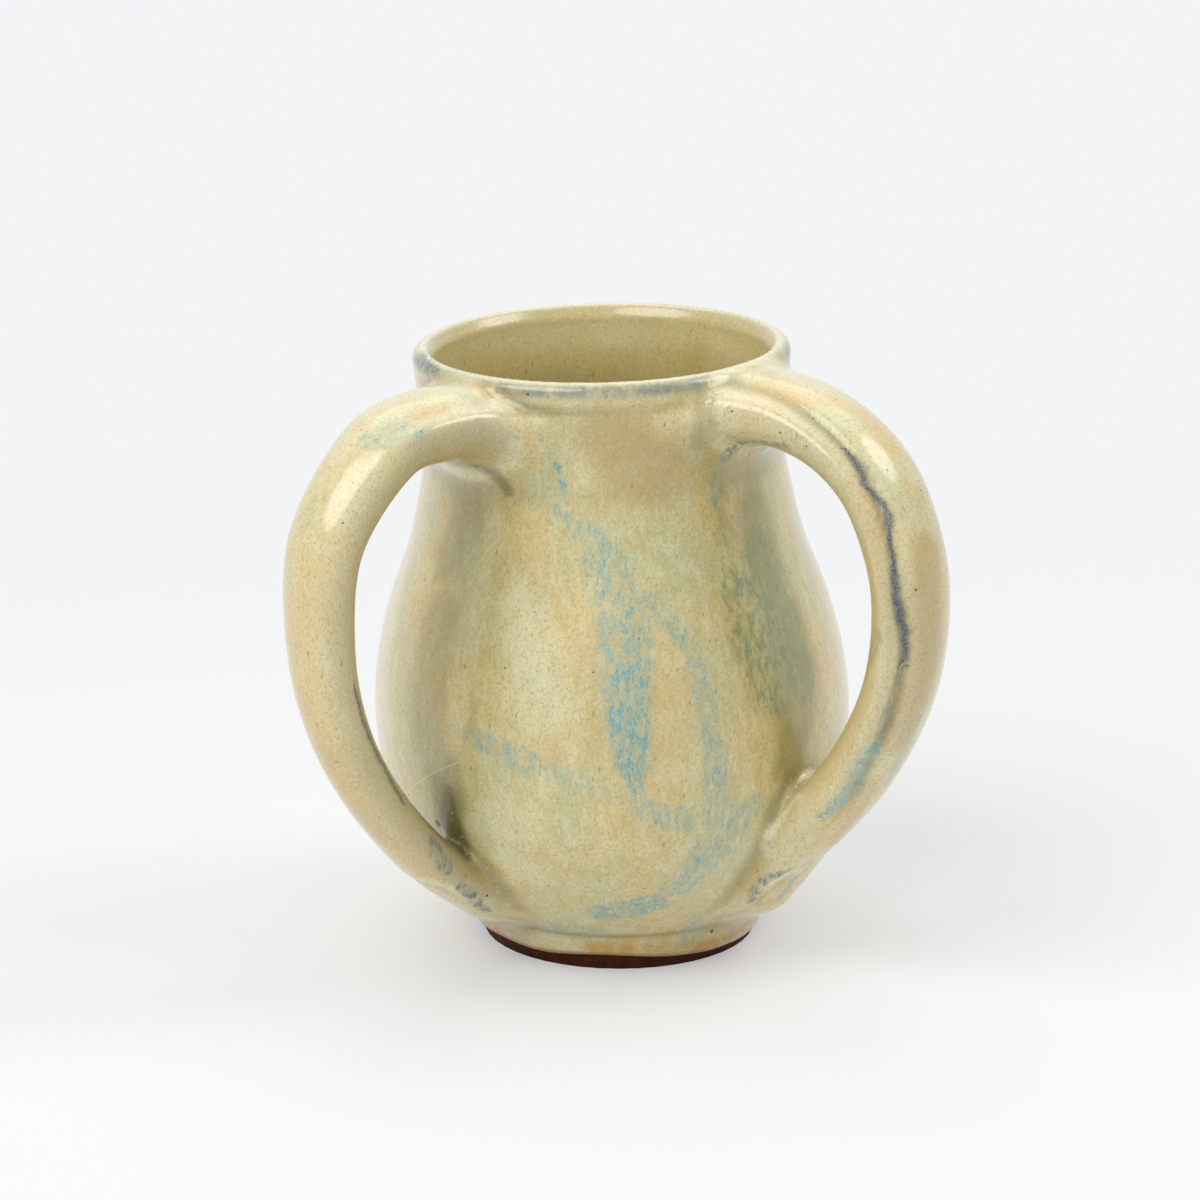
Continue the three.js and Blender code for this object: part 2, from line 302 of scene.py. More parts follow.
def inside_line():
    """Inside of the cup from under the lip to the middle of the floor."""
    belly = BELLY_RADIUS - WALL_THICKNESS
    neck = NECK_RADIUS - WALL_THICKNESS
    neck_height = CUP_HEIGHT - NECK_BELOW_RIM
    floor = RECESS_DEPTH + FLOOR_THICKNESS
    points = [
        tuple(lip_line()[-1]),
        (neck, neck_height),
        (between(neck, belly, 0.69), between(BELLY_HEIGHT, neck_height, 0.433)),
        (belly, BELLY_HEIGHT),
        (between(0, belly, 0.78), between(floor, BELLY_HEIGHT, 0.3)),
        (between(0, belly, 0.42), between(floor, BELLY_HEIGHT, 0.02)),
        (0, floor),
    ]
    return smooth_line(points, INSIDE_STEPS)[1:]


def taper(sizes, share):
    """A size that runs smoothly through its values at the top, the middle and the bottom."""
    top, middle, bottom = sizes
    return (2 * top * (share - 0.5) * (share - 1)
            + 4 * middle * share * (1 - share)
            + 2 * bottom * share * (share - 0.5))


def handle_width(handle, share):
    return (taper(handle["width"], share)
            + handle["flare_top"] * np.maximum(1 - share / FLARE_SHARE, 0) ** 2
            + handle["flare_bottom"] * np.maximum(1 - (1 - share) / FLARE_SHARE, 0) ** 2)


def handle_line(handle, count):
    """Centre line in the handle's own upright plane, distance from the axis and height."""
    upper_radius = NECK_RADIUS - WALL_THICKNESS / 4
    lower_radius = FOOT_TOP_RADIUS - WALL_THICKNESS / 2
    low = handle["lower_joint_height"]
    high = CUP_HEIGHT - handle["upper_joint_below_rim"]
    points = [(math.sqrt(upper_radius ** 2 - (handle_width(handle, 0) / 2) ** 2), high)]
    for out, up in handle["bend"]:
        at_cup = between(lower_radius, upper_radius, up)
        points.append((between(at_cup, handle["reach"], out), between(low, high, up)))
    points.append((math.sqrt(lower_radius ** 2 - (handle_width(handle, 1) / 2) ** 2), low))
    return smooth_line(points, count)


def handle_axes(handle):
    """Outward and across directions, flat on the ground."""
    turn = math.radians(handle["turn"])
    outward = np.array([handle["side"] * math.sin(turn), -math.cos(turn)])
    return outward, np.array([outward[1], -outward[0]])


def line_sides(line):
    """Unit directions along a line and to its left, at each of its points."""
    along = np.gradient(line, axis=0)
    along /= np.hypot(*along.T)[:, None]
    return along, np.column_stack([-along[:, 1], along[:, 0]])


def nearest(points, line):
    """Index of the nearest point of a line, for each point."""
    batch = 4000
    found = np.empty(len(points), int)
    for start in range(0, len(points), batch):
        part = points[start:start + batch]
        gaps = (part[:, None, 0] - line[None, :, 0]) ** 2 + (part[:, None, 1] - line[None, :, 1]) ** 2
        found[start:start + batch] = gaps.argmin(axis=1)
    return found


def corners(mesh):
    """The places of a mesh's corners, one row each."""
    points = np.empty(len(mesh.vertices) * 3)
    mesh.vertices.foreach_get("co", points)
    return points.reshape(-1, 3)


def foot_centre():
    """Middle of the foot ring's corners on the ground, in millimetres."""
    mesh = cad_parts["foot_ring"].data
    points = corners(mesh)
    ground = points[points[:, 2] < 0.0001] / MILLIMETRE
    return ground.mean(axis=0)[:2]


FOOT = foot_centre()
OUTSIDE = np.vstack([foot_line(), body_line()[1:]])
SEEN = np.vstack([OUTSIDE, lip_line(), inside_line()])
SEEN_SIDES = line_sides(SEEN)[1]
LIP_START = len(OUTSIDE) + LIP_STEPS // 4
LIP_END = len(OUTSIDE) + LIP_STEPS * 3 // 4

# The middle of the cup's wall, which parts its inside from its outside
WALL_HEIGHTS = OUTSIDE[:, 1]
WALL_RADII = OUTSIDE[:, 0] - WALL_THICKNESS / 2


def cup_distance(points):
    """Distance outside the cup's skin, and 1 where the nearest skin is on the outside, 0 on the inside."""
    flat = np.column_stack([np.hypot(points[:, 0], points[:, 1]), points[:, 2]])
    index = nearest(flat, SEEN)
    away = -((flat - SEEN[index]) * SEEN_SIDES[index]).sum(axis=1)
    return away, 1 - ease(index, LIP_START, LIP_END)


def handle_place(points, handle):
    """Share of the length, angle round the section and distance outside the skin of a handle."""
    outward, across = handle_axes(handle)
    flat = np.column_stack([points[:, :2] @ outward, points[:, 2]])
    sideways = points[:, :2] @ across
    line = handle_line(handle, HANDLE_STEPS)
    along, side = line_sides(line)
    index = nearest(flat, line)
    share = index / (HANDLE_STEPS - 1)
    outer = ((flat - line[index]) * side[index]).sum(axis=1)
    past_end = np.abs(((flat - line[index]) * along[index]).sum(axis=1))
    depth = taper(handle["depth"], share) / 2
    width = handle_width(handle, share) / 2
    from_centre = np.hypot(outer, sideways)
    swell = np.hypot(outer / depth, sideways / width)
    angle = np.degrees(np.arctan2(sideways / width, outer / depth))
    away = np.maximum(from_centre * (1 - 1 / np.maximum(swell, 1e-6)), past_end - BURIED_END)
    return share, angle, away


def ease(value, low, high):
    """Smooth step from 0 at low to 1 at high."""
    share = np.clip((value - low) / (high - low), 0, 1)
    return share * share * (3 - 2 * share)


def relief(handle, share, angle):
    """Height over the plain oval: the valley between two rolls, and the wipe under the lower end."""
    shares, angles = np.array(handle["valley"]).T
    from_valley = angle - np.interp(share, shares, angles)
    fade = np.clip((handle["valley_end"] - share) / VALLEY_FADE_SHARE, 0, 1)
    valley = np.exp(-(from_valley / VALLEY_HALF_WIDTH) ** 2)
    roll = np.exp(-((from_valley - ROLL_BESIDE_VALLEY) / ROLL_HALF_WIDTH) ** 2)
    pressed = handle["roll_height"] * roll - handle["valley_depth"] * valley
    shares, angles = np.array(handle["wipe_ridge"]).T
    under = np.interp(share, shares, angles) - angle
    wipe = ease(under, 0, WIPE_EDGE) * (1 - ease(under, WIPE_EDGE, WIPE_FAR))
    wipe *= ease(share, shares[0], shares[2])
    return fade * pressed - handle["wipe_depth"] * wipe


def melt(first, second, reach):
    """Union of two distances, rounded over where they are within reach of each other."""
    close = np.maximum(reach - np.abs(first - second), 0) / np.maximum(reach, 1e-6)
    return np.minimum(first, second) - close ** 2 * reach / 4


def skin_distance(points):
    """Distance outside the whole glazed skin."""
    away, outside = cup_distance(points)
    for handle in (LEFT_HANDLE, RIGHT_HANDLE):
        share, angle, handle_away = handle_place(points, handle)
        handle_away = handle_away - relief(handle, share, angle * handle["side"])
        reach = between(UPPER_FILLET, LOWER_FILLET, np.clip(share * 2 - 0.5, 0, 1))
        reach *= np.clip((CUP_HEIGHT - points[:, 2]) / LIP_CLEARANCE, 0.1, 1)
        away = between(away, melt(away, handle_away, reach), outside)
    return away + COAT_INSET


def spun(points, steps):
    """A bmesh of an outline of radius and height, turned once round the upright axis."""
    bm = bmesh.new()
    chain = [bm.verts.new((radius, 0, height)) for radius, height in points]
    edges = [bm.edges.new(pair) for pair in zip(chain, chain[1:])]
    bmesh.ops.spin(bm, geom=chain + edges, cent=(0, 0, 0), axis=(0, 0, 1), angle=2 * math.pi,
                   steps=steps, use_merge=True, use_duplicate=False)
    bmesh.ops.remove_doubles(bm, verts=bm.verts, dist=1e-4)
    bmesh.ops.recalc_face_normals(bm, faces=bm.faces)
    return bm


def sweep_handle(bm, handle):
    """Draws a lean oval ring along the handle's centre line, from inside the cup's wall to its floor."""
    outward, across = handle_axes(handle)
    line = handle_line(handle, TUBE_STEPS)
    along, side = line_sides(line)
    start = bmesh.ops.create_circle(bm, cap_ends=True, segments=SECTION_STEPS, radius=ROUGH_SHARE)
    ring = start["verts"]
    edges = list(dict.fromkeys(edge for vert in ring for edge in vert.link_edges))
    place = Matrix.Identity(4)
    for step in range(1, TUBE_STEPS):
        share = step / (TUBE_STEPS - 1)
        outer = Vector((*(outward * side[step][0]), side[step][1])) * taper(handle["depth"], share) / 2
        wide = Vector((*across, 0)) * float(handle_width(handle, share)) / 2
        forward = Vector((*(outward * along[step][0]), along[step][1]))
        centre = Vector((*(outward * line[step][0]), line[step][1]))
        target = Matrix.Translation(centre) @ Matrix((outer, wide, forward)).transposed().to_4x4()
        if step > 1:
            grown = bmesh.ops.extrude_edge_only(bm, edges=edges)["geom"]
            ring = [item for item in grown if isinstance(item, bmesh.types.BMVert)]
            edges = [item for item in grown if isinstance(item, bmesh.types.BMEdge)]
        bmesh.ops.transform(bm, matrix=target @ place.inverted(), verts=ring)
        place = target
    bmesh.ops.contextual_create(bm, geom=edges)


def as_object(bm, name):
    """An object in the scene with the bmesh's shape."""
    mesh = bpy.data.meshes.new(name)
    bm.to_mesh(mesh)
    bm.free()
    piece = bpy.data.objects.new(name, mesh)
    bpy.context.scene.collection.objects.link(piece)
    return piece


def with_modifiers(piece):
    """Replaces a piece's mesh by what its modifiers make of it."""
    graph = bpy.context.evaluated_depsgraph_get()
    piece.data = bpy.data.meshes.new_from_object(piece.evaluated_get(graph))
    piece.modifiers.clear()


def set_corners(mesh, points):
    mesh.vertices.foreach_set("co", points.astype(float).ravel())
    mesh.update()


def normals(mesh):
    """The outward direction at each corner."""
    sides = np.empty(len(mesh.vertices) * 3)
    mesh.vertex_normals.foreach_get("vector", sides)
    return sides.reshape(-1, 3)


def settle(mesh):
    """Moves the rough skin's corners onto the melted skin, a millimetre at most each time."""
    for _ in range(SETTLE_ROUNDS):
        points = corners(mesh)
        step = np.clip(-skin_distance(points), -1, 1)
        set_corners(mesh, points + normals(mesh) * step[:, None])


def relax(mesh):
    """Evens out the mesh."""
    bm = bmesh.new()
    bm.from_mesh(mesh)
    for _ in range(RELAX_ROUNDS):
        bmesh.ops.smooth_vert(
            bm, verts=bm.verts, factor=0.5, use_axis_x=True, use_axis_y=True, use_axis_z=True)
    bm.to_mesh(mesh)
    bm.free()


def lean_over(points):
    """Leans points of the upright cup as the finished one leans, and sets them over its foot."""
    leant = points.copy()
    rise = points[:, 2] / CUP_HEIGHT
    leant[:, 0] = points[:, 0] - RIM_SHIFT * rise
    leant[:, 2] = points[:, 2] + RIM_DROP * rise * points[:, 0] / (2 * RIM_RADIUS)
    leant[:, :2] += FOOT
    return leant


def glaze_coat():
    """The outside coat, over the lip and down to the lining, with both handles melted into the cup."""
    recess_radius = FOOT_CONTACT_RADIUS - FOOT_RING_WIDTH
    underside = [(0, RECESS_DEPTH), (recess_radius, RECESS_DEPTH), (recess_radius, 0)]
    bm = spun([*underside, *SEEN[::2], SEEN[-1]], TURN_STEPS)
    for handle in (LEFT_HANDLE, RIGHT_HANDLE):
        sweep_handle(bm, handle)
    bmesh.ops.recalc_face_normals(bm, faces=bm.faces)
    piece = as_object(bm, "glaze_coat")
    remesh = piece.modifiers.new("skin", "REMESH")
    remesh.mode = "VOXEL"
    remesh.voxel_size = VOXEL
    remesh.use_smooth_shade = True
    with_modifiers(piece)
    mesh = piece.data
    cut_open(mesh)
    for _ in range(SETTLE_CYCLES):
        relax(mesh)
        settle(mesh)
    trim_edges(mesh)
    add_layers(mesh)
    return piece


def add_layers(mesh):
    """Leans the finished skin over and stores what the glaze does at each of its corners."""
    straight = corners(mesh)
    hollow = hollows(mesh) * HOLLOW_STRENGTH
    radius = np.hypot(straight[:, 0], straight[:, 1])
    store(mesh, "height", straight[:, 2])
    store(mesh, "above_line", straight[:, 2] - GLAZE_LINE_HEIGHT + glaze_line_drop(straight))
    behind_wall = np.interp(straight[:, 2], WALL_HEIGHTS, WALL_RADII) - radius
    inside = np.clip(behind_wall / INSIDE_FADE, 0, 1)
    store(mesh, "inside", inside)
    store(mesh, "hollow", np.clip(hollow, 0, 1) * (1 - inside))
    store(mesh, "edge", np.clip(-hollow, 0, 1) * (1 - inside))
    facing, cup_skin = handle_layers(straight)
    store(mesh, "handle_inside", facing)
    store(mesh, "cup_skin", cup_skin * (1 - inside))
    placed = lean_over(straight)
    sides = normals(mesh)
    for name, strokes in STROKES.items():
        store(mesh, name, brushed(placed, sides, strokes))
    for name, paths in VEINS.items():
        widths, near = veined(placed, sides, paths)
        store(mesh, name, widths)
        store(mesh, name + "_near", near)
    set_corners(mesh, placed * MILLIMETRE)


def handle_layers(points):
    """How shaded each handle is on the side towards the cup, and 1 on the cup clear of the handles."""
    facing = np.zeros(len(points))
    cup_skin = np.ones(len(points))
    for handle in (LEFT_HANDLE, RIGHT_HANDLE):
        share, angle, away = handle_place(points, handle)
        on_handle = ease(away, *ON_HANDLE_FADE) * ease(share, *SHADE_STARTS) * ease(share, *SHADE_ENDS)
        turned_in = ease(np.abs(angle), *SHADE_TURNS)
        facing = np.maximum(facing, handle["inner_shade"] * on_handle * turned_in)
        cup_skin *= ease(away, *OFF_HANDLE_FADE)
    return facing, cup_skin


def store(mesh, name, values):
    """Keeps one number at each corner, for the materials to read."""
    layer = mesh.attributes.new(name, "FLOAT", "POINT")
    layer.data.foreach_set("value", values.astype(float))


def hollows(mesh):
    """How hollow the skin is at each corner, evened out over its neighbours; ridges come out below zero."""
    points = corners(mesh)
    ends = np.empty(len(mesh.edges) * 2, int)
    mesh.edges.foreach_get("vertices", ends)
    ends = ends.reshape(-1, 2)
    count = np.bincount(ends.ravel(), minlength=len(points))

    def neighbours(values):
        total = np.bincount(ends[:, 0], values[ends[:, 1]], len(points))
        total += np.bincount(ends[:, 1], values[ends[:, 0]], len(points))
        return total / count

    middle = np.column_stack([neighbours(points[:, axis]) for axis in range(3)])
    bend = ((middle - points) * normals(mesh)).sum(axis=1)
    for _ in range(HOLLOW_ROUNDS):
        bend = (bend + neighbours(bend)) / 2
    return bend


def along_skin(points, sides, start, end):
    """Vectors from a stroke to each corner, flat on the skin, with their depth and the stroke's share."""
    run = end[:3] - start[:3]
    share = np.clip((points - start[:3]) @ run / max(run @ run, 1e-9), 0, 1)
    gaps = points - start[:3] - share[:, None] * run
    depth = (gaps * sides).sum(axis=1)
    return gaps - depth[:, None] * sides, np.abs(depth), share


def laid_on(points, path):
    """A stroke with each of its places moved to the nearest corner of the skin."""
    path = np.array(path, float)
    for stop in path:
        stop[:3] = points[((points - stop[:3]) ** 2).sum(axis=1).argmin()]
    return path


def brushed(points, sides, strokes):
    """How strongly soft brush strokes cover each corner. A stroke's points are x, y, z and half width."""
    cover = np.zeros(len(points))
    for strength, path in strokes:
        path = laid_on(points, path)
        for start, end in zip(path, path[1:]):
            gaps, depth, share = along_skin(points, sides, start, end)
            width = between(start[3], end[3], share)
            near = ease(np.linalg.norm(gaps, axis=1) / width, 1, STROKE_PLATEAU)
            cover = np.maximum(cover, strength * near * ease(depth, PAINT_DEPTH, PAINT_DEPTH / 2))
    return cover


def veined(points, sides, paths):
    """Distance to the nearest thin line in its half widths, below zero on one side, and nearness to it."""
    found = np.full(len(points), FAR_FROM_VEIN)
    near = np.zeros(len(points))
    for path in paths:
        path = laid_on(points, path)
        for start, end in zip(path, path[1:]):
            gaps, depth, share = along_skin(points, sides, start, end)
            gap = np.linalg.norm(gaps, axis=1)
            near = np.maximum(near, ease(gap, VEIN_REACH, VEIN_REACH / 2) * (depth < PAINT_DEPTH))
            widths = gap / between(start[3], end[3], share)
            closer = (widths < np.abs(found)) & (depth < PAINT_DEPTH)
            turn = np.sign((np.cross(end[:3] - start[:3], gaps) * sides).sum(axis=1))
            found[closer] = (widths * turn)[closer]
    return found, near


def spot_places(mesh, spots):
    """The skin's own corner nearest to each spot, with the spot's radius."""
    places = laid_on(corners(mesh), np.array(spots) * MILLIMETRE)
    return [(tuple(place[:3]), place[3]) for place in places]


def cut_open(mesh):
    """Takes away what lies under the glaze line and what the lining covers, with a margin."""
    bm = bmesh.new()
    bm.from_mesh(mesh)
    gone = []
    for vert in bm.verts:
        inside = in_cup(vert.co)
        below_line = vert.co.z < GLAZE_LINE_HEIGHT - FOOT_CUT_MARGIN
        if below_line or (inside and vert.co.z < LINING_TOP - LINING_CUT_MARGIN):
            gone.append(vert)
    bmesh.ops.delete(bm, geom=gone, context="VERTS")
    bm.to_mesh(mesh)
    bm.free()


def glaze_line_drop(points):
    """How far the glaze runs below its usual line, at each angle round the foot."""
    angle = np.arctan2(points[:, 0], -points[:, 1])
    drop = GLAZE_LINE_DROP + GLAZE_LINE_WAVE * (np.sin(3 * angle + 0.9) + np.sin(7 * angle))
    for run, middle, half_width in GLAZE_RUNS:
        drop += run * np.exp(-((angle - middle) / half_width) ** 2)
    return drop


def near_glaze_line(height):
    """1 at the glaze line, and 0 from well above it."""
    return 1 - ease(height, *GLAZE_LINE_FADE)


def in_cup(place):
    """Whether a place lies on the inside of the wall's middle."""
    return math.hypot(place.x, place.y) < np.interp(place.z, WALL_HEIGHTS, WALL_RADII)


def cut_below(bm, geom, height):
    bmesh.ops.bisect_plane(
        bm, geom=geom, plane_co=(0, 0, height), plane_no=(0, 0, -1), clear_outer=True)


def trim_edges(mesh):
    """Cuts the coat off along the wandering glaze line and where the lining starts."""
    points = corners(mesh)
    points[:, 2] += glaze_line_drop(points) * near_glaze_line(points[:, 2])
    set_corners(mesh, points)
    bm = bmesh.new()
    bm.from_mesh(mesh)
    cut_below(bm, [*bm.verts, *bm.edges, *bm.faces], GLAZE_LINE_HEIGHT)
    inner = [face for face in bm.faces if in_cup(face.calc_center_median())]
    inner_parts = dict.fromkeys(item for face in inner for item in (*face.verts, *face.edges, face))
    cut_below(bm, list(inner_parts), LINING_TOP)
    bm.normal_update()
    rim = [edge for edge in bm.edges if edge.is_boundary]
    turned = bmesh.ops.extrude_edge_only(bm, edges=rim)["geom"]
    for vert in [item for item in turned if isinstance(item, bmesh.types.BMVert)]:
        from_axis = Vector((vert.co.x, vert.co.y, 0)).normalized()
        inwards = -from_axis if vert.co.z < FOOT_HEIGHT else from_axis
        vert.co += inwards * COAT_THICKNESS
    bm.to_mesh(mesh)
    bm.free()
    points = corners(mesh)
    lifted = points[:, 2].copy()
    for _ in range(TRIM_ROUNDS):
        points[:, 2] = lifted - glaze_line_drop(points) * near_glaze_line(points[:, 2])
    set_corners(mesh, points)


def lining_coat():
    """The inside coat from the middle of the floor up to just under the lip's coat."""
    front = SEEN[LIP_END:] + SEEN_SIDES[LIP_END:] * LINING_INSET
    front[-1, 0] = 0
    front = front[front[:, 1] <= LINING_TOP + LINING_OVERLAP]
    return as_object(spun(front, TURN_STEPS), "lining_coat")
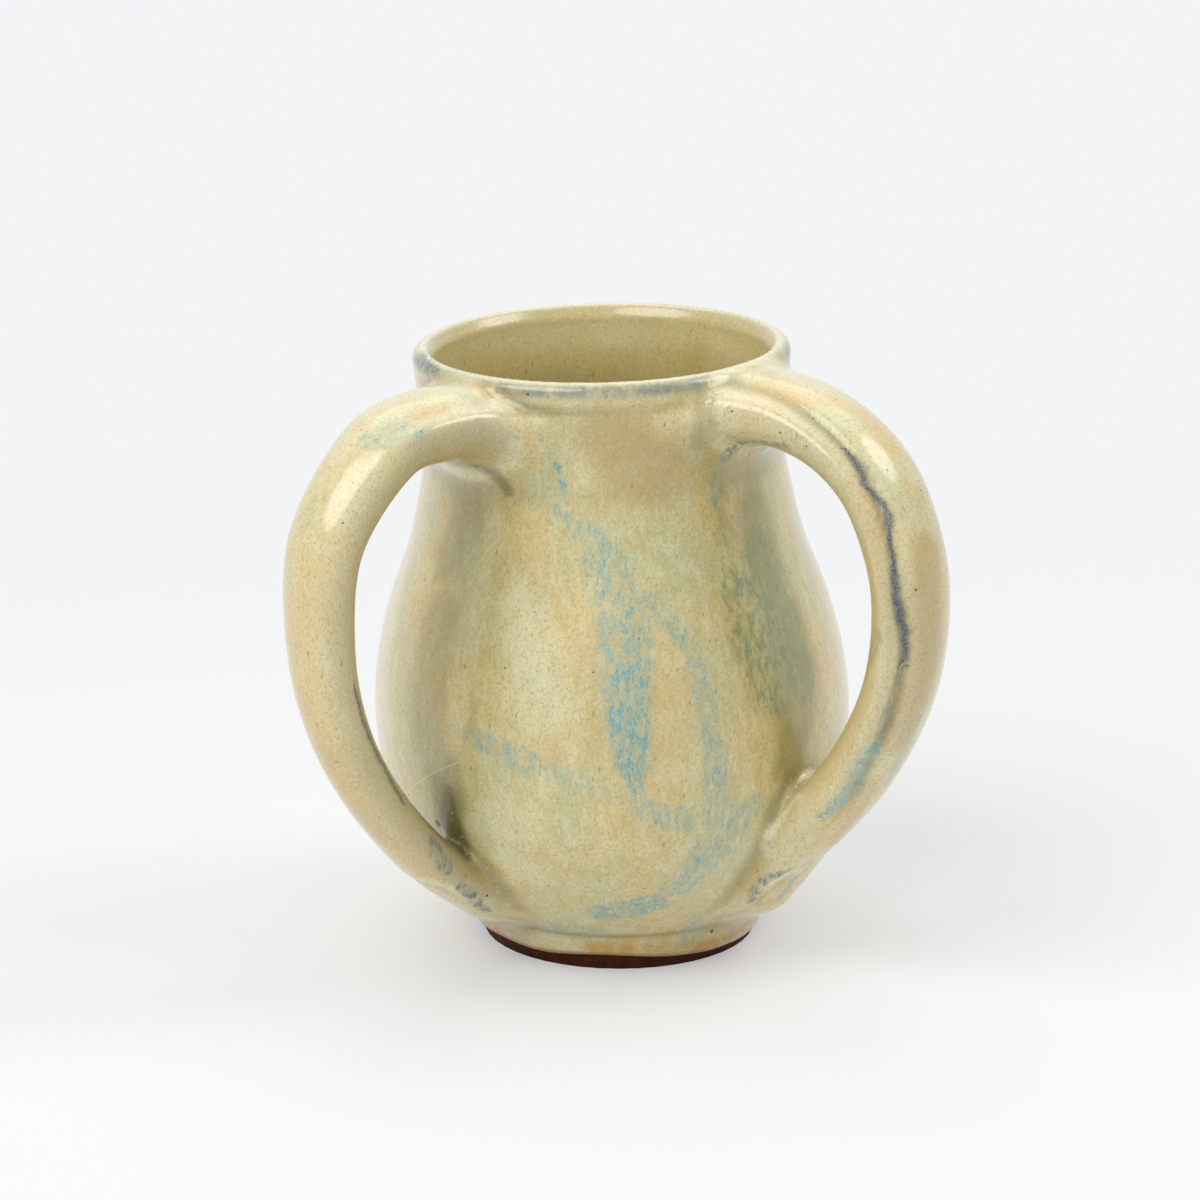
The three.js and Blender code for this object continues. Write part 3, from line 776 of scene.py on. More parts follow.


# Brush strokes in the finished cup's place: strength, then x, y, z and half width along the stroke.
# Shade is painted shade in the corners and creases at the joints, the painted highlights lie on the ridges
# and creases beside them, and bead is the swelling under the lip, with painted shadow under it
STROKES = {
    "turquoise": [
        (0.6, [(-6, -34, 106, 4), (-3, -36, 100, 8), (1, -41.5, 86, 11), (2.4, -45.9, 70, 9)]),
        (0.9, [(1.6, -44.5, 76, 6), (2.4, -46, 66, 7.5), (3.4, -46.8, 57, 6), (4, -47, 50, 1.2)]),
        (0.5, [(-6, -34, 104, 3.5), (-14, -32, 112, 2.5)]),
        (1.0, [(-14, -32, 122, 1), (-13, -32.5, 120, 1)]),
        (0.95, [(-13, -33, 117.5, 1.3), (-12, -33, 115, 1)]),
        (0.5, [(8, -37, 92, 4), (16, -38.5, 80, 4), (20.9, -42.1, 61, 4.5), (22.9, -38.3, 34, 8)]),
        (0.52, [(-36, -34, 60.5, 3), (-31, -38, 59.5, 4), (-23, -42, 57, 5.5), (-19, -43, 56, 5.5)]),
        (0.4, [(-19, -43, 56, 5), (-12.7, -45.7, 54, 4.5), (4, -46, 48.5, 4.5)]),
        (0.5, [(6, -46, 46, 5), (14, -44, 43, 6)]),
        (0.8, [(-4, -34.5, 17.5, 5), (3, -36, 18.5, 6), (9, -37, 20, 5)]),
        (0.5, [(12, -37, 22, 7), (19, -38, 33, 10), (24, -38, 40, 10), (29, -34, 44, 5)]),
        (0.65, [(13, -38, 26, 3.5), (17, -39, 33, 4)]),
        (0.5, [(-54, -48, 131, 5), (-48, -46, 132, 5), (-43, -46, 131, 3)]),
        (0.3, [(-50, -42, 134, 6), (-44, -38, 136, 5)]),
        (0.8, [(57, -48, 62, 2.5), (54, -47, 56, 3.4), (52, -44, 50, 3.4), (46, -41, 42, 2.4)]),
        (0.62, [(66, -46, 67, 2), (64, -44, 60, 2.4), (60, -40, 51, 2.4)]),
        (0.7, [(40, -27, 23, 1.6), (37, -23, 17, 2)]),
        (0.5, [(20, -28, 6, 5), (17, -28, 12, 5)]),
        (0.45, [(-18, -29, 7, 4), (-5, -33, 8, 4)]),
        (0.4, [(22, -25, 119, 3), (21, -27, 112, 3)]),
        (0.7, [(-20, 42, 100, 6), (-23, 48, 78, 8), (-22, 52, 55, 5)]),
        (0.6, [(30, 38, 62, 7), (24, 44, 45, 6), (8, 45, 30, 5)]),
    ],
    "teal": [
        (0.65, [(28, -30, 92, 9), (31, -30, 80, 13), (33, -31, 68, 9)]),
        (0.6, [(33, -22, 98, 9), (38, -24, 80, 11), (41, -24, 68, 8)]),
        (0.45, [(22, -25, 116, 4), (24, -27, 104, 5)]),
        (0.5, [(46, -40, 72, 3), (56, -52, 88, 3)]),
    ],
    "cobalt": [
        (0.5, [
            (-30, -25, 138, 1.4), (-26, -29, 138, 1.8), (-19, -32, 138, 1.8), (-13, -34, 138.5, 1.6),
            (0, -34, 138.5, 1.4), (10, -32, 138.6, 1.8), (19, -28, 138.6, 2.6)]),
        (0.95, [(-45, 1, 138.5, 2.2), (-44, -6, 138.5, 2.4), (-42, -11, 138, 2.2), (-40, -14, 138.5, 1.2)]),
        (0.75, [(39.8, -3, 138.5, 2.4), (39.6, 6, 138.5, 2.6)]),
        (0.45, [
            (50, -45, 126, 2), (53, -48, 121, 2.2), (56, -50, 117, 1.8), (58, -51, 110, 1.8),
            (60, -53, 98, 2.2), (62, -52, 89, 2.2), (61, -52, 82, 1.6)]),
        (0.55, [(61, -52, 80, 2), (59, -51, 72, 3.2), (58, -49, 67, 3), (56, -48, 62, 2)]),
        (0.75, [(37, -32, 26, 1.4), (33, -31, 24, 2), (31, -29, 21, 2.6), (30, -28, 18, 2.2)]),
        (0.5, [(46, -31, 30, 1.8), (41, -31, 28, 2), (37, -32, 26, 1.8)]),
        (0.8, [(-41, -44, 39, 2), (-40, -42, 34, 3.2), (-38, -41, 30, 2.6)]),
        (0.9, [(-36, -37, 25, 1.8), (-33, -35, 21, 2.4), (-31, -31, 18, 2.4), (-29, -29, 16, 1.6)]),
        # These two cobalt strokes lie in the creases under the upper joints and are partly painted shade
        # there
        (0.45, [(-31, -30, 123, 1.4), (-26, -27, 119, 2.2), (-24, -28, 114, 1.6)]),
        (0.7, [(23, -25, 122, 2.8), (28, -29, 126, 2), (37, -39, 127, 1.6)]),
        (0.3, [(18, -29, 138, 4), (19, -31, 133, 4), (18, -28, 126, 4)]),
    ],
    "ochre": [
        (0.85, [(-31, -25, 138, 2.4), (-28, -27, 137, 3), (-24, -30, 136, 2.4)]),
        (0.55, [(-23, -31, 134, 2.4), (-20, -31, 129, 2.4), (-19, -31, 122, 3)]),
        (0.45, [(20, -28, 137, 2.6), (20, -29, 130, 2.6), (20, -27, 124, 3), (19, -27, 117, 3)]),
        (0.6, [(31, -27, 138, 3), (40, -34, 136, 3), (52, -33, 134, 4), (60, -40, 128, 5)]),
        (0.3, [(-46, -39, 136, 5), (-39, -40, 134, 4)]),
        (0.6, [(-66, -64, 106, 6), (-71, -60, 90, 7), (-69, -58, 75, 7), (-60, -52, 52, 6)]),
        (0.85, [(51, -48, 122, 2.4), (54, -50, 117, 3), (56, -52, 110, 2.6)]),
        (0.95, [
            (54, -52, 110, 3), (56, -53, 101, 3.4), (56, -52, 92, 3.4), (55, -50, 82, 3.4),
            (53, -48, 72, 3.6), (51, -46, 63, 3.6), (47, -43, 56, 3.6), (44, -41, 49, 3)]),
        (0.65, [(66, -45, 65, 1.8), (64, -43, 60, 1.8)]),
        (0.8, [(43, -21, 20, 2.6), (40, -24, 20, 3), (37, -23, 17, 3)]),
        (0.6, [(-36, -28.5, 31, 3), (-33, -34, 26, 3)]),
        (0.5, [(30, -29, 28, 3.4), (29, -28, 20, 3)]),
    ],
    # Warm strokes are partly the glaze's warmer tint and partly painted light on the inside wall at the back
    # right
    "pink_and_painted_light": [
        (0.85, [(-2, -34, 128, 10), (7, -34, 120, 12)]),
        (0.4, [(-2, -42, 80, 12), (4, -44, 62, 12)]),
        (0.6, [(18, 34, 128, 8), (28, 24, 126, 9), (34, 12, 124, 8)]),
        (1.0, [(66, -48, 106, 6), (66, -50, 94, 8), (65, -48, 80, 8), (61, -46, 64, 6)]),
        (1.0, [(55, -43, 52, 3.4), (52, -38, 43, 4), (49, -33, 35, 4.4)]),
        (0.9, [(-60, -56, 60, 8), (-52, -50, 45, 9), (-43, -42, 35, 8), (-38, -39, 27, 7)]),
    ],
    # Olive strokes are partly the glaze's olive patches and partly painted shade beside the handles and in
    # the lower left corner
    "olive": [
        (0.8, [(37, -24, 108, 9), (38, -24, 92, 10), (40, -24, 72, 11), (38, -29, 52, 8)]),
        (0.45, [(-39, -24, 84, 9), (-40, -24, 62, 9), (-38, -28, 44, 7)]),
        (0.95, [(-40, -30, 48, 4), (-39, -31, 43, 7), (-38, -30, 37, 7), (-36, -31, 31, 4)]),
        (0.45, [(-33, -22, 108, 8), (-36, -18, 95, 8)]),
        (0.5, [(19, -28, 138, 3.5), (18.5, -28, 128, 4)]),
    ],
    # Pale strokes are partly the glaze's paler patches and partly painted light: the sheen on the left of
    # the belly and the lit inside wall at the back right
    "pale": [
        (0.8, [(-27, -30, 135, 3), (-34, -37, 134, 4)]),
        (0.75, [(-34, -26, 138, 6), (-42, -33, 137, 8), (-52, -40, 134, 8), (-60, -46, 128, 6)]),
        (0.8, [(31, -12, 140, 6), (40, -22, 139, 7), (48, -34, 135, 6)]),
        (0.95, [(-22, -35, 91, 7), (-19, -40, 80, 9), (-16, -44, 68, 8)]),
        (0.7, [(-27, -36, 31, 6), (-18, -38, 27, 6)]),
        (0.8, [(-48, 4, 92, 8), (-53, -4, 72, 9), (-54, -8, 55, 8)]),
        (0.8, [(-26, -16, 7, 5), (-20, -20, 8, 5), (-10, -26, 7, 4)]),
        (0.5, [(-30, -40, 40, 8), (-20, -43, 42, 8)]),
        (0.6, [(24, 32, 130, 7), (32, 20, 128, 7)]),
        (0.5, [(-70, -62, 100, 8), (-72, -60, 85, 8)]),
    ],
    # Painted highlights on the ridges and in the creases at the lower joints
    "painted_glint": [
        (1, [
            (41, -37, 46, 0.9), (40, -35, 45, 1.1), (38, -34, 42, 1.1), (36, -34, 39, 1.3),
            (34, -33, 36, 1.7)]),
        (0.8, [(42, -28, 26, 1.3), (39, -30, 25, 1.3), (35, -31, 24, 1.3), (33, -30, 22, 1.1)]),
        (0.9, [
            (-46, -38, 27, 1.2), (-43, -40, 27, 1.3), (-41, -40, 27, 1.3), (-38, -38, 25, 1.3),
            (-35, -35, 22, 1.2), (-30, -31, 18, 1)]),
        (0.8, [(-40, -27, 36, 0.7), (-38, -28, 34, 0.7)]),
    ],
    # Painted shade in the corners and creases at the joints
    "shade": [
        (0.7, [(-33, -29, 124, 1.6), (-29, -28, 121.5, 2.4), (-26, -27, 119, 3), (-24.5, -28, 114, 2)]),
        (0.95, [(-38, -32, 46, 2.4), (-38, -31, 41, 4.4), (-37, -31, 35, 4.4), (-35, -32, 30, 2.6)]),
        (0.4, [(-37, -33, 52, 4), (-37, -33, 44, 6)]),
        (0.3, [(39, -30, 48, 3), (37, -31, 46, 3.4), (35, -33, 43, 3), (34, -34, 40, 2.4)]),
    ],
    "bead": [
        (1.0, [(-22, -30, 135.4, 5), (-14, -33.5, 135, 5), (-7, -34.5, 135.2, 4)]),
        (0.4, [(-6, -34.5, 135.4, 4), (6, -34, 135.6, 4), (14, -32.4, 136, 4)]),
    ],
}

# Thin lines in the finished cup's place: x, y, z and half width along each
VEINS = {
    "cobalt_line": [
        [
            (49, -44, 127, 0.4), (52, -46, 124, 0.9), (53, -48, 121, 0.6), (55, -49, 119, 0.45),
            (57, -50, 117, 0.6), (58, -50, 114, 0.6), (58, -51, 110, 0.4), (59, -52, 105, 0.5),
            (60, -53, 97, 0.7), (61, -53, 93, 0.9), (62, -52, 89, 0.9), (62, -52, 84, 0.6),
            (61, -52, 82, 0.3)],
        [
            (-57, -59.4, 78, 0.4), (-55.4, -57.4, 70, 0.5), (-53, -54.6, 62, 0.55),
            (-50, -51.5, 54.5, 0.55), (-47.6, -49, 49, 0.4)],
    ],
    "scratch": [[(-45.8, -22.3, 43.2, 0.12), (-40, -29, 49.5, 0.14), (-35.1, -35.1, 54.1, 0.1)]],
}

# Pinholes and brown flecks: x, y, z and radius
PINHOLES = [
    (-40.5, -27, 36.5, 1.1), (-28.7, -33, 20.6, 0.45), (21.8, -19.8, 8, 0.65), (-24.9, -38, 76.9, 0.25),
]
BROWN_FLECKS = [
    (25, -33, 134, 0.35), (35, -39, 130, 0.3), (41, -43, 128, 0.3), (42, -38, 133, 0.3),
    (58, -45, 123, 0.3), (65, -40, 120, 0.3), (66, -42, 118, 0.3), (64, -53, 99, 0.4), (-59, -59, 115, 0.3),
    (-24, -33, 128, 0.25), (-20, -32, 137, 0.4), (-6, -44, 77, 0.25), (5, -41, 84, 0.25),
]


def paint(red, green, blue):
    """A colour as seen, 0 to 255, in the numbers that a shader takes."""
    channels = []
    for value in (red, green, blue):
        share = value / 255
        channels.append(share / 12.92 if share < 0.04045 else ((share + 0.055) / 1.055) ** 2.4)
    return (*channels, 1)


# Glaze colours
CREAM_GREEN = paint(200, 197, 144)
CREAM_WARM = paint(220, 197, 132)
# Also the colour of painted light where the pale strokes lie
CREAM_PALE = paint(228, 222, 180)
HONEY = paint(200, 180, 114)
GRAIN_DARK = paint(166, 152, 98)
TAN = paint(184, 150, 94)
# Warmer glaze, also painted light on the inside wall at the back right
PINKISH = paint(190, 161, 98)
OCHRE = paint(222, 182, 106)
# Also the colour of the painted highlights
EDGE_PALE = paint(238, 232, 196)
# Painted shade in the hollows
HOLLOW_SHADE_GREY = paint(126, 122, 80)
SHADE_BROWN = paint(152, 134, 74)
# Olive glaze, also laid as painted shade
OLIVE = paint(132, 130, 72)
GOLD = paint(204, 158, 70)
# Painted shade in the corners at the joints
PAINTED_SHADE_OLIVE = paint(84, 80, 26)
# Painted shade in the foot's crease and under the lip's bead
CREASE_SHADE_GREEN = paint(134, 126, 78)
RUST = paint(150, 100, 30)
LIP_GREY = paint(128, 136, 118)
PALE_BLUE = paint(164, 186, 160)
TURQUOISE = paint(98, 160, 170)
TEAL_GROUND = paint(132, 150, 116)
TEAL = paint(98, 134, 118)
BLUE_GREY = paint(124, 132, 118)
LINE_GREY = paint(124, 126, 108)
COBALT = paint(58, 68, 90)
LINING = paint(202, 186, 122)
FLECK = paint(140, 104, 58)
FLECK_DARK = paint(84, 66, 44)
PINHOLE_DARK = paint(22, 20, 18)

# Clay colours
CLAY_DARK = paint(54, 22, 6)
CLAY_RED = paint(84, 40, 16)
CLAY_SPECK = paint(150, 108, 76)


def add(tree, kind, sockets=None, **settings):
    """A node with its settings, and its inputs filled or linked."""
    node = tree.nodes.new("ShaderNode" + kind)
    for name, value in settings.items():
        setattr(node, name, value)
    for name, value in (sockets or {}).items():
        if isinstance(value, bpy.types.NodeSocket):
            tree.links.new(value, node.inputs[name])
        else:
            node.inputs[name].default_value = value
    return node


def noise(tree, place, scale, detail=3.0, roughness=0.55, distortion=0.0):
    sockets = {
        "Vector": place, "Scale": scale, "Detail": detail, "Roughness": roughness, "Distortion": distortion}
    return add(tree, "TexNoise", sockets).outputs["Fac"]


def layer(tree, name):
    """What was stored at the skin's corners under this name."""
    return add(tree, "Attribute", attribute_name=name).outputs["Fac"]


def limits(tree, value, low, high, start=0.0, end=1.0):
    """Maps the stretch from low to high smoothly onto start to end."""
    sockets = {"Value": value, "From Min": low, "From Max": high, "To Min": start, "To Max": end}
    return add(tree, "MapRange", sockets, interpolation_type="SMOOTHSTEP").outputs["Result"]


def calculate(tree, operation, first, second=0.0):
    return add(tree, "Math", {0: first, 1: second}, operation=operation).outputs[0]


def multiply(tree, first, second):
    return calculate(tree, "MULTIPLY", first, second)


def distance_from(tree, value, middle):
    """How far a value lies from a middle one, either way."""
    return calculate(tree, "ABSOLUTE", calculate(tree, "SUBTRACT", value, middle))


def blend(tree, share, first, second):
    """Mixes two colours; the numbers are the node's inputs for its share and its colours."""
    return add(tree, "Mix", {0: share, 6: first, 7: second}, data_type="RGBA").outputs[2]


def new_material(name):
    """A material with its node tree, its shader and the object's own coordinates."""
    finish = bpy.data.materials.new(name)
    finish.use_nodes = True
    tree = finish.node_tree
    shader = tree.nodes["Principled BSDF"]
    place = add(tree, "TexCoord").outputs["Object"]
    return finish, tree, shader, place


def stretched(tree, place, upright):
    """Coordinates in which a pattern is drawn out or squeezed along the upright."""
    return add(tree, "Mapping", {"Vector": place, "Scale": (1, 1, upright)}).outputs[0]


def web(tree, pattern):
    """Thin winding lines where a soft pattern passes through its middle."""
    away = distance_from(tree, pattern, 0.5)
    return calculate(tree, "SUBTRACT", 0.9, multiply(tree, away, 9))


def streaks(tree, pattern, cover):
    """Where a fine pattern shows through, more of it where the cover is thicker."""
    reach = calculate(tree, "SUBTRACT", 0.9, multiply(tree, cover, 0.52))
    sharp = multiply(tree, calculate(tree, "SUBTRACT", pattern, reach), 9)
    return add(tree, "Clamp", {"Value": sharp}).outputs[0]


def specks(tree, place, scale, kept, size):
    """Round specks in some of the cells of a scattered pattern."""
    cells = add(tree, "TexVoronoi", {"Vector": place, "Scale": scale})
    chance = add(tree, "SeparateColor", {"Color": cells.outputs["Color"]}).outputs[0]
    chosen = calculate(tree, "LESS_THAN", chance, kept)
    return multiply(tree, chosen, limits(tree, cells.outputs["Distance"], size, size * 0.5))


def band(tree, value, middle, half_width):
    """1 at the middle of a value's band, smoothly to 0 at its edges."""
    return limits(tree, distance_from(tree, value, middle), half_width, 0)


def plain_glaze(tree, cloud, blotch, fibres):
    """Cream glaze with warmer and paler patches, drawn out into fine upright fibres."""
    body = blend(tree, limits(tree, cloud, 0.36, 0.64), CREAM_GREEN, CREAM_WARM)
    body = blend(tree, limits(tree, blotch, 0.45, 0.7, 0, 0.55), body, CREAM_PALE)
    body = blend(tree, limits(tree, blotch, 0.48, 0.3, 0, 0.6), body, HONEY)
    return blend(tree, limits(tree, fibres, 0.5, 0.72, 0, 0.4), body, CREAM_PALE)


def brushed_glaze(tree, body, cloud, blotch):
    """Warm, pale and olive strokes on the outside, the pale ones partly painted light and the olive ones
    partly painted shade; its pale edges; painted shade in its hollows, on the handles' sides towards the cup
    and in the corners; and painted highlights.
    """
    # Paler glaze, and painted light where the pale strokes stand for the belly's sheen and the lit inside
    # wall
    pale = multiply(tree, layer(tree, "pale"), limits(tree, blotch, 0.3, 0.55, 0.45, 0.8))
    body = blend(tree, pale, body, CREAM_PALE)
    # Warmer glaze, and painted light on the inside wall at the back right
    body = blend(tree, multiply(tree, layer(tree, "pink_and_painted_light"), 0.78), body, PINKISH)
    ochre = multiply(tree, layer(tree, "ochre"), limits(tree, blotch, 0.3, 0.6, 0.4, 0.95))
    body = blend(tree, ochre, body, OCHRE)
    body = blend(tree, multiply(tree, layer(tree, "edge"), 0.45), body, EDGE_PALE)
    # Painted shade in the hollows
    body = blend(tree, multiply(tree, layer(tree, "hollow"), 0.8), body, HOLLOW_SHADE_GREY)
    body = blend(tree, multiply(tree, layer(tree, "handle_inside"), 0.6), body, SHADE_BROWN)
    # Olive glaze, partly painted shade beside the handles and in the lower left corner
    olive = multiply(tree, layer(tree, "olive"), limits(tree, cloud, 0.3, 0.6, 0.55, 0.85))
    body = blend(tree, olive, body, OLIVE)
    # Painted shade in the corners and creases at the joints
    body = blend(tree, multiply(tree, layer(tree, "shade"), 0.8), body, PAINTED_SHADE_OLIVE)
    # Painted highlights
    return blend(tree, multiply(tree, layer(tree, "painted_glint"), 0.8), body, EDGE_PALE)


def foot_and_lip(tree, place, body, blotch):
    """Golden foot with painted shade in its thin crease and a rusty lower edge; blue-grey lip with a pale
    top and painted shadow under its bead.
    """
    height = layer(tree, "height")
    below_rim = calculate(tree, "SUBTRACT", CUP_HEIGHT, height)
    above_line = layer(tree, "above_line")
    cup_skin = layer(tree, "cup_skin")
    patches = limits(tree, noise(tree, place, 170, 3, 0.6, 0.5), 0.4, 0.58, 0.35, 1)
    bare_of_pale = limits(tree, layer(tree, "pale"), 0.8, 0, 0, 0.9)
    gold = multiply(tree, limits(tree, above_line, 4.8, 2.4), multiply(tree, patches, bare_of_pale))
    body = blend(tree, gold, body, GOLD)
    # Painted shade in the crease above the foot
    crease = multiply(tree, band(tree, height, FOOT_HEIGHT, 0.8), cup_skin)
    body = blend(tree, multiply(tree, crease, 0.5), body, CREASE_SHADE_GREEN)
    body = blend(tree, limits(tree, above_line, 1.1, 0.1, 0, 0.85), body, RUST)
    uneven = limits(tree, blotch, 0.35, 0.6, 0.45, 0.9)
    lip = multiply(tree, band(tree, below_rim, LIP_GREY_BELOW, 2.6), uneven)
    body = blend(tree, multiply(tree, lip, cup_skin), body, LIP_GREY)
    # Painted shadow under the lip's bead
    shadow_under_bead = multiply(tree, band(tree, below_rim, UNDER_BEAD_BELOW, 0.9), layer(tree, "bead"))
    body = blend(tree, multiply(tree, shadow_under_bead, 0.5), body, CREASE_SHADE_GREEN)
    return blend(tree, limits(tree, below_rim, *LIP_TOP_BELOW, 0, 0.6), body, EDGE_PALE)


def threaded(tree, body, cover, pattern, ground, thread, strength):
    """Fine threads of one colour over a thin ground of another, both thicker where the cover is."""
    body = blend(tree, limits(tree, cover, 0.1, 0.9, 0, 0.8), body, ground)
    shown = multiply(tree, streaks(tree, pattern, cover), limits(tree, cover, 0.1, 0.7, 0, strength))
    return blend(tree, shown, body, thread)


def blues(tree, place, body):
    """Turquoise and teal threads, cobalt speckle and thin cobalt lines."""
    thread = web(tree, noise(tree, stretched(tree, place, 0.33), 1100, 3, 0.6, 0.8))
    patchy = limits(tree, noise(tree, stretched(tree, place, 0.35), 700, 4, 0.65), 0.34, 0.66, 0.45, 1.25)
    turquoise = multiply(tree, layer(tree, "turquoise"), patchy)
    body = threaded(tree, body, turquoise, thread, PALE_BLUE, TURQUOISE, 0.8)
    mottle = noise(tree, place, 1500, 3, 0.6, 0.8)
    teal = multiply(tree, layer(tree, "teal"), patchy)
    body = threaded(tree, body, teal, mottle, TEAL_GROUND, TEAL, 0.5)
    speckle = noise(tree, place, 2600, 3, 0.7)
    # Blue glaze; the strokes under the upper joints are partly painted shade in those creases
    cobalt = multiply(tree, layer(tree, "cobalt"), patchy)
    body = threaded(tree, body, cobalt, speckle, BLUE_GREY, COBALT, 0.65)
    wander = limits(tree, noise(tree, place, 320, 3, 0.7), 0.3, 0.7, -0.6, 0.6)
    off_line = calculate(tree, "ABSOLUTE", calculate(tree, "ADD", layer(tree, "cobalt_line"), wander))
    near = layer(tree, "cobalt_line_near")
    halo = multiply(tree, limits(tree, off_line, 3.0, 0.5, 0, 0.55), near)
    body = blend(tree, halo, body, LINE_GREY)
    broken = limits(tree, speckle, 0.42, 0.54, 0.2, 1)
    core = multiply(tree, limits(tree, off_line, 1.9, 0.2, 0, 0.9), broken)
    return blend(tree, multiply(tree, core, near), body, COBALT)


def spotted(tree, place, body, spots, colour):
    """Small spots, soft at their edges."""
    for spot, radius in spots:
        gap = add(tree, "VectorMath", {0: place, 1: spot}, operation="DISTANCE").outputs["Value"]
        body = blend(tree, limits(tree, gap, radius, radius * 0.6, 0, 0.9), body, colour)
    return body


def pricked(tree, place, body, mesh):
    """The long pale scratch, the brown flecks and the pinholes, dark right through the glaze."""
    off_scratch = calculate(tree, "ABSOLUTE", layer(tree, "scratch"))
    scratch = multiply(tree, limits(tree, off_scratch, 1.6, 0.4, 0, 0.5), layer(tree, "scratch_near"))
    body = blend(tree, scratch, body, EDGE_PALE)
    body = spotted(tree, place, body, spot_places(mesh, BROWN_FLECKS), FLECK_DARK)
    return spotted(tree, place, body, spot_places(mesh, PINHOLES), PINHOLE_DARK)


def glaze_material(name, outside=None):
    """The cream glaze. The outside's mesh brings its strokes, lines and spots; the lining has none."""
    finish, tree, shader, place = new_material(name)
    cloud = noise(tree, stretched(tree, place, 0.7), 70, 3, 0.5)
    blotch = noise(tree, stretched(tree, place, 0.55), 320, 4, 0.62, 0.3)
    fibres = noise(tree, stretched(tree, place, 0.3), 3000, 2, 0.6)
    runs = noise(tree, stretched(tree, place, 0.12), 420, 3, 0.6)
    body = plain_glaze(tree, cloud, blotch, fibres)
    body = blend(tree, limits(tree, runs, 0.52, 0.7, 0, 0.45), body, HONEY)
    if outside:
        below_rim = calculate(tree, "SUBTRACT", CUP_HEIGHT, layer(tree, "height"))
        deep = multiply(tree, layer(tree, "inside"), limits(tree, below_rim, *INSIDE_BELOW, 0.7, 0.85))
        body = blend(tree, deep, body, LINING)
        body = brushed_glaze(tree, body, cloud, blotch)
        body = foot_and_lip(tree, place, body, blotch)
    else:
        body = blend(tree, 0.8, body, LINING)
    body = blend(tree, limits(tree, fibres, 0.5, 0.28, 0.0, 0.3), body, GRAIN_DARK)
    mottle = noise(tree, place, 1300, 4, 0.75, 0.4)
    body = blend(tree, limits(tree, mottle, 0.48, 0.34, 0, 0.6), body, TAN)
    body = blend(tree, limits(tree, mottle, 0.55, 0.7, 0, 0.4), body, EDGE_PALE)
    if outside:
        body = blues(tree, place, body)
    dashes = specks(tree, stretched(tree, place, 0.3), 700, 0.14, 0.2)
    body = blend(tree, multiply(tree, dashes, 0.55), body, FLECK)
    body = blend(tree, multiply(tree, specks(tree, place, 300, 0.05, 0.07), 0.8), body, FLECK_DARK)
    if outside:
        body = pricked(tree, place, body, outside)
    tree.links.new(body, shader.inputs["Base Color"])
    peel = noise(tree, place, 420, 2, 0.5)
    bump = add(tree, "Bump", {"Strength": 0.25, "Distance": 0.0003, "Height": peel})
    if outside:
        bead = multiply(tree, band(tree, below_rim, BEAD_BELOW, 1.9), layer(tree, "bead"))
        peeled = bump.outputs[0]
        bump = add(tree, "Bump", {"Strength": 0.8, "Distance": 0.0008, "Height": bead, "Normal": peeled})
    tree.links.new(bump.outputs[0], shader.inputs["Normal"])
    tree.links.new(limits(tree, blotch, 0.3, 0.7, 0.3, 0.42), shader.inputs["Roughness"])
    shader.inputs["Specular IOR Level"].default_value = 0.3
    shader.inputs["Coat Weight"].default_value = 1.0
    shader.inputs["Coat IOR"].default_value = 1.52
    shader.inputs["Coat Roughness"].default_value = 0.17
    return finish


def clay_material():
    """Bare dark stoneware with paler grit."""
    finish, tree, shader, place = new_material("stoneware")
    coarse = noise(tree, place, 300, 4, 0.6)
    speck = noise(tree, place, 1400, 2, 0.5)
    body = blend(tree, limits(tree, coarse, 0.35, 0.65), CLAY_DARK, CLAY_RED)
    body = blend(tree, limits(tree, speck, 0.7, 0.78), body, CLAY_SPECK)
    tree.links.new(body, shader.inputs["Base Color"])
    bump = add(tree, "Bump", {"Strength": 0.5, "Distance": 0.0004, "Height": speck})
    tree.links.new(bump.outputs[0], shader.inputs["Normal"])
    tree.links.new(limits(tree, coarse, 0.3, 0.7, 0.65, 0.85), shader.inputs["Roughness"])
    shader.inputs["Specular IOR Level"].default_value = 0.15
    return finish


def smooth_shade(piece):
    for polygon in piece.data.polygons:
        polygon.use_smooth = True


def looked_at(tree):
    """1 for what the eye sees straight, or by reflection or through glass; 0 for what lights the cup."""
    path = add(tree, "LightPath")
    seen = calculate(tree, "MAXIMUM", path.outputs["Is Camera Ray"], path.outputs["Is Glossy Ray"])
    return calculate(tree, "MAXIMUM", seen, path.outputs["Is Transmission Ray"])


def floor_material():
    """White paper, lit by the lamps near the cup and plain white to the eye farther off."""
    finish, tree, shader, place = new_material("floor_paper")
    tone = blend(tree, noise(tree, place, 3, 2), PAPER_SHADED, PAPER_LIT)
    tree.links.new(tone, shader.inputs["Base Color"])
    shader.inputs["Roughness"].default_value = 0.9
    white = add(tree, "Emission", {"Color": FLOOR_WHITE, "Strength": 1.0})
    from_cup = add(tree, "VectorMath", {0: place, 1: (0, 0, 0)}, operation="DISTANCE").outputs["Value"]
    plain = multiply(tree, looked_at(tree), limits(tree, from_cup, *SHADOW_REACH, *WHITE_SHARE))
    both = add(tree, "MixShader", {0: plain, 1: shader.outputs[0], 2: white.outputs[0]})
    tree.links.new(both.outputs[0], tree.nodes["Material Output"].inputs["Surface"])
    return finish


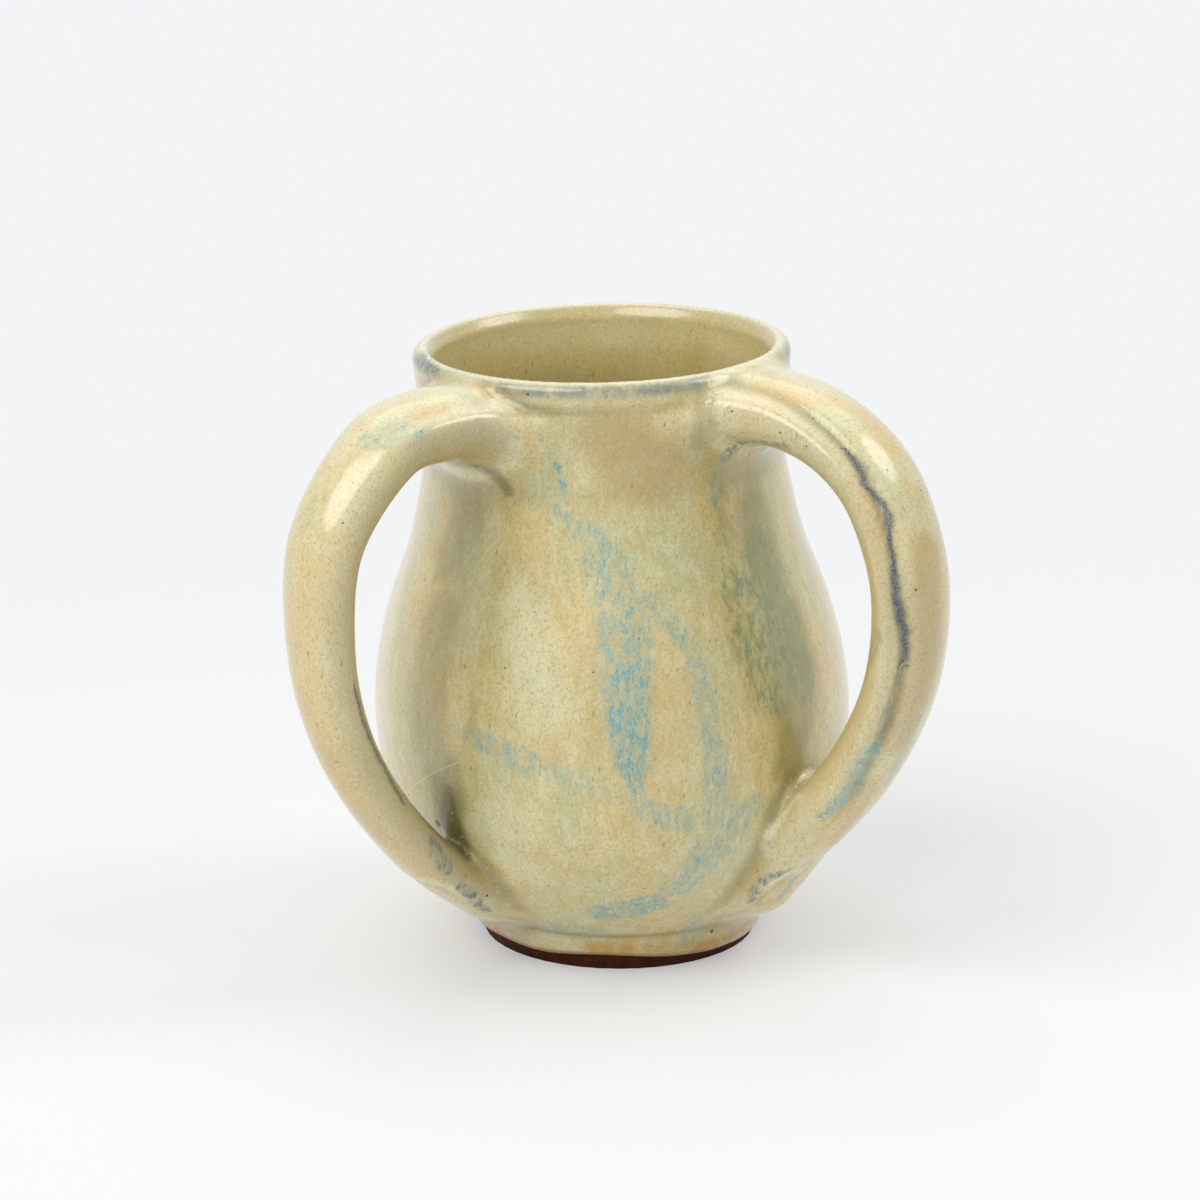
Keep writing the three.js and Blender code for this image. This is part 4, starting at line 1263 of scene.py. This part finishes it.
def set_camera():
    """The photo's camera, which looks down at the cup a little from in front."""
    data = bpy.data.cameras.new("camera")
    data.lens = CAMERA_LENS
    data.sensor_width = CAMERA_SENSOR
    data.clip_end = CAMERA_REACH
    camera = bpy.data.objects.new("camera", data)
    bpy.context.scene.collection.objects.link(camera)
    camera.location = (Vector((*FOOT, 0)) + Vector(CAMERA_FROM_FOOT)) * MILLIMETRE
    camera.rotation_euler = (math.radians(90 - CAMERA_DOWN), 0, 0)
    bpy.context.scene.camera = camera
    bpy.context.scene.view_settings.view_transform = "Standard"


def set_lamp(name, lamp):
    """A soft lamp that looks at the cup."""
    data = bpy.data.lights.new(name, "AREA")
    data.shape = "ELLIPSE"
    data.size, data.size_y = lamp["size"]
    data.energy = lamp["power"]
    box = bpy.data.objects.new(name, data)
    bpy.context.scene.collection.objects.link(box)
    turn = math.radians(lamp["azimuth"])
    rise = math.radians(lamp["elevation"])
    away = Vector((math.sin(turn) * math.cos(rise), -math.cos(turn) * math.cos(rise), math.sin(rise)))
    box.location = away * lamp["distance"] + Vector((0, 0, LAMPS_AIM_HEIGHT))
    box.rotation_euler = away.to_track_quat("Z", "Y").to_euler()


def set_sky():
    """Soft white light from all round, seen brighter than it lights."""
    world = bpy.data.worlds.new("studio")
    bpy.context.scene.world = world
    world.use_nodes = True
    tree = world.node_tree
    sky = tree.nodes["Background"]
    sky.inputs["Color"].default_value = (1, 1, 1, 1)
    strength = calculate(tree, "ADD", multiply(tree, looked_at(tree), SKY_SEEN), SKY_LIGHT)
    tree.links.new(strength, sky.inputs["Strength"])


coat = glaze_coat()
smooth_shade(coat)
coat.data.materials.append(glaze_material("cream_glaze", coat.data))
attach(coat, "root")
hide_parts("outer_glaze", "left_handle_glaze", "right_handle_glaze")

lining = lining_coat()
smooth_shade(lining)
lining.data.materials.append(glaze_material("lining_glaze"))
set_corners(lining.data, lean_over(corners(lining.data)) * MILLIMETRE)
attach(lining, "root")
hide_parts("lining_glaze")

clay = clay_material()
for name in ("cup_body", "foot_ring", "left_handle", "right_handle"):
    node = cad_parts[name]
    for slot in node.material_slots:
        slot.material = clay

floor_mesh = bmesh.new()
bmesh.ops.create_grid(floor_mesh, x_segments=1, y_segments=1, size=FLOOR_HALF_WIDTH)
floor = as_object(floor_mesh, "floor")
floor.data.materials.append(floor_material())

set_camera()
for name, lamp in LAMPS.items():
    set_lamp(name, lamp)
set_sky()
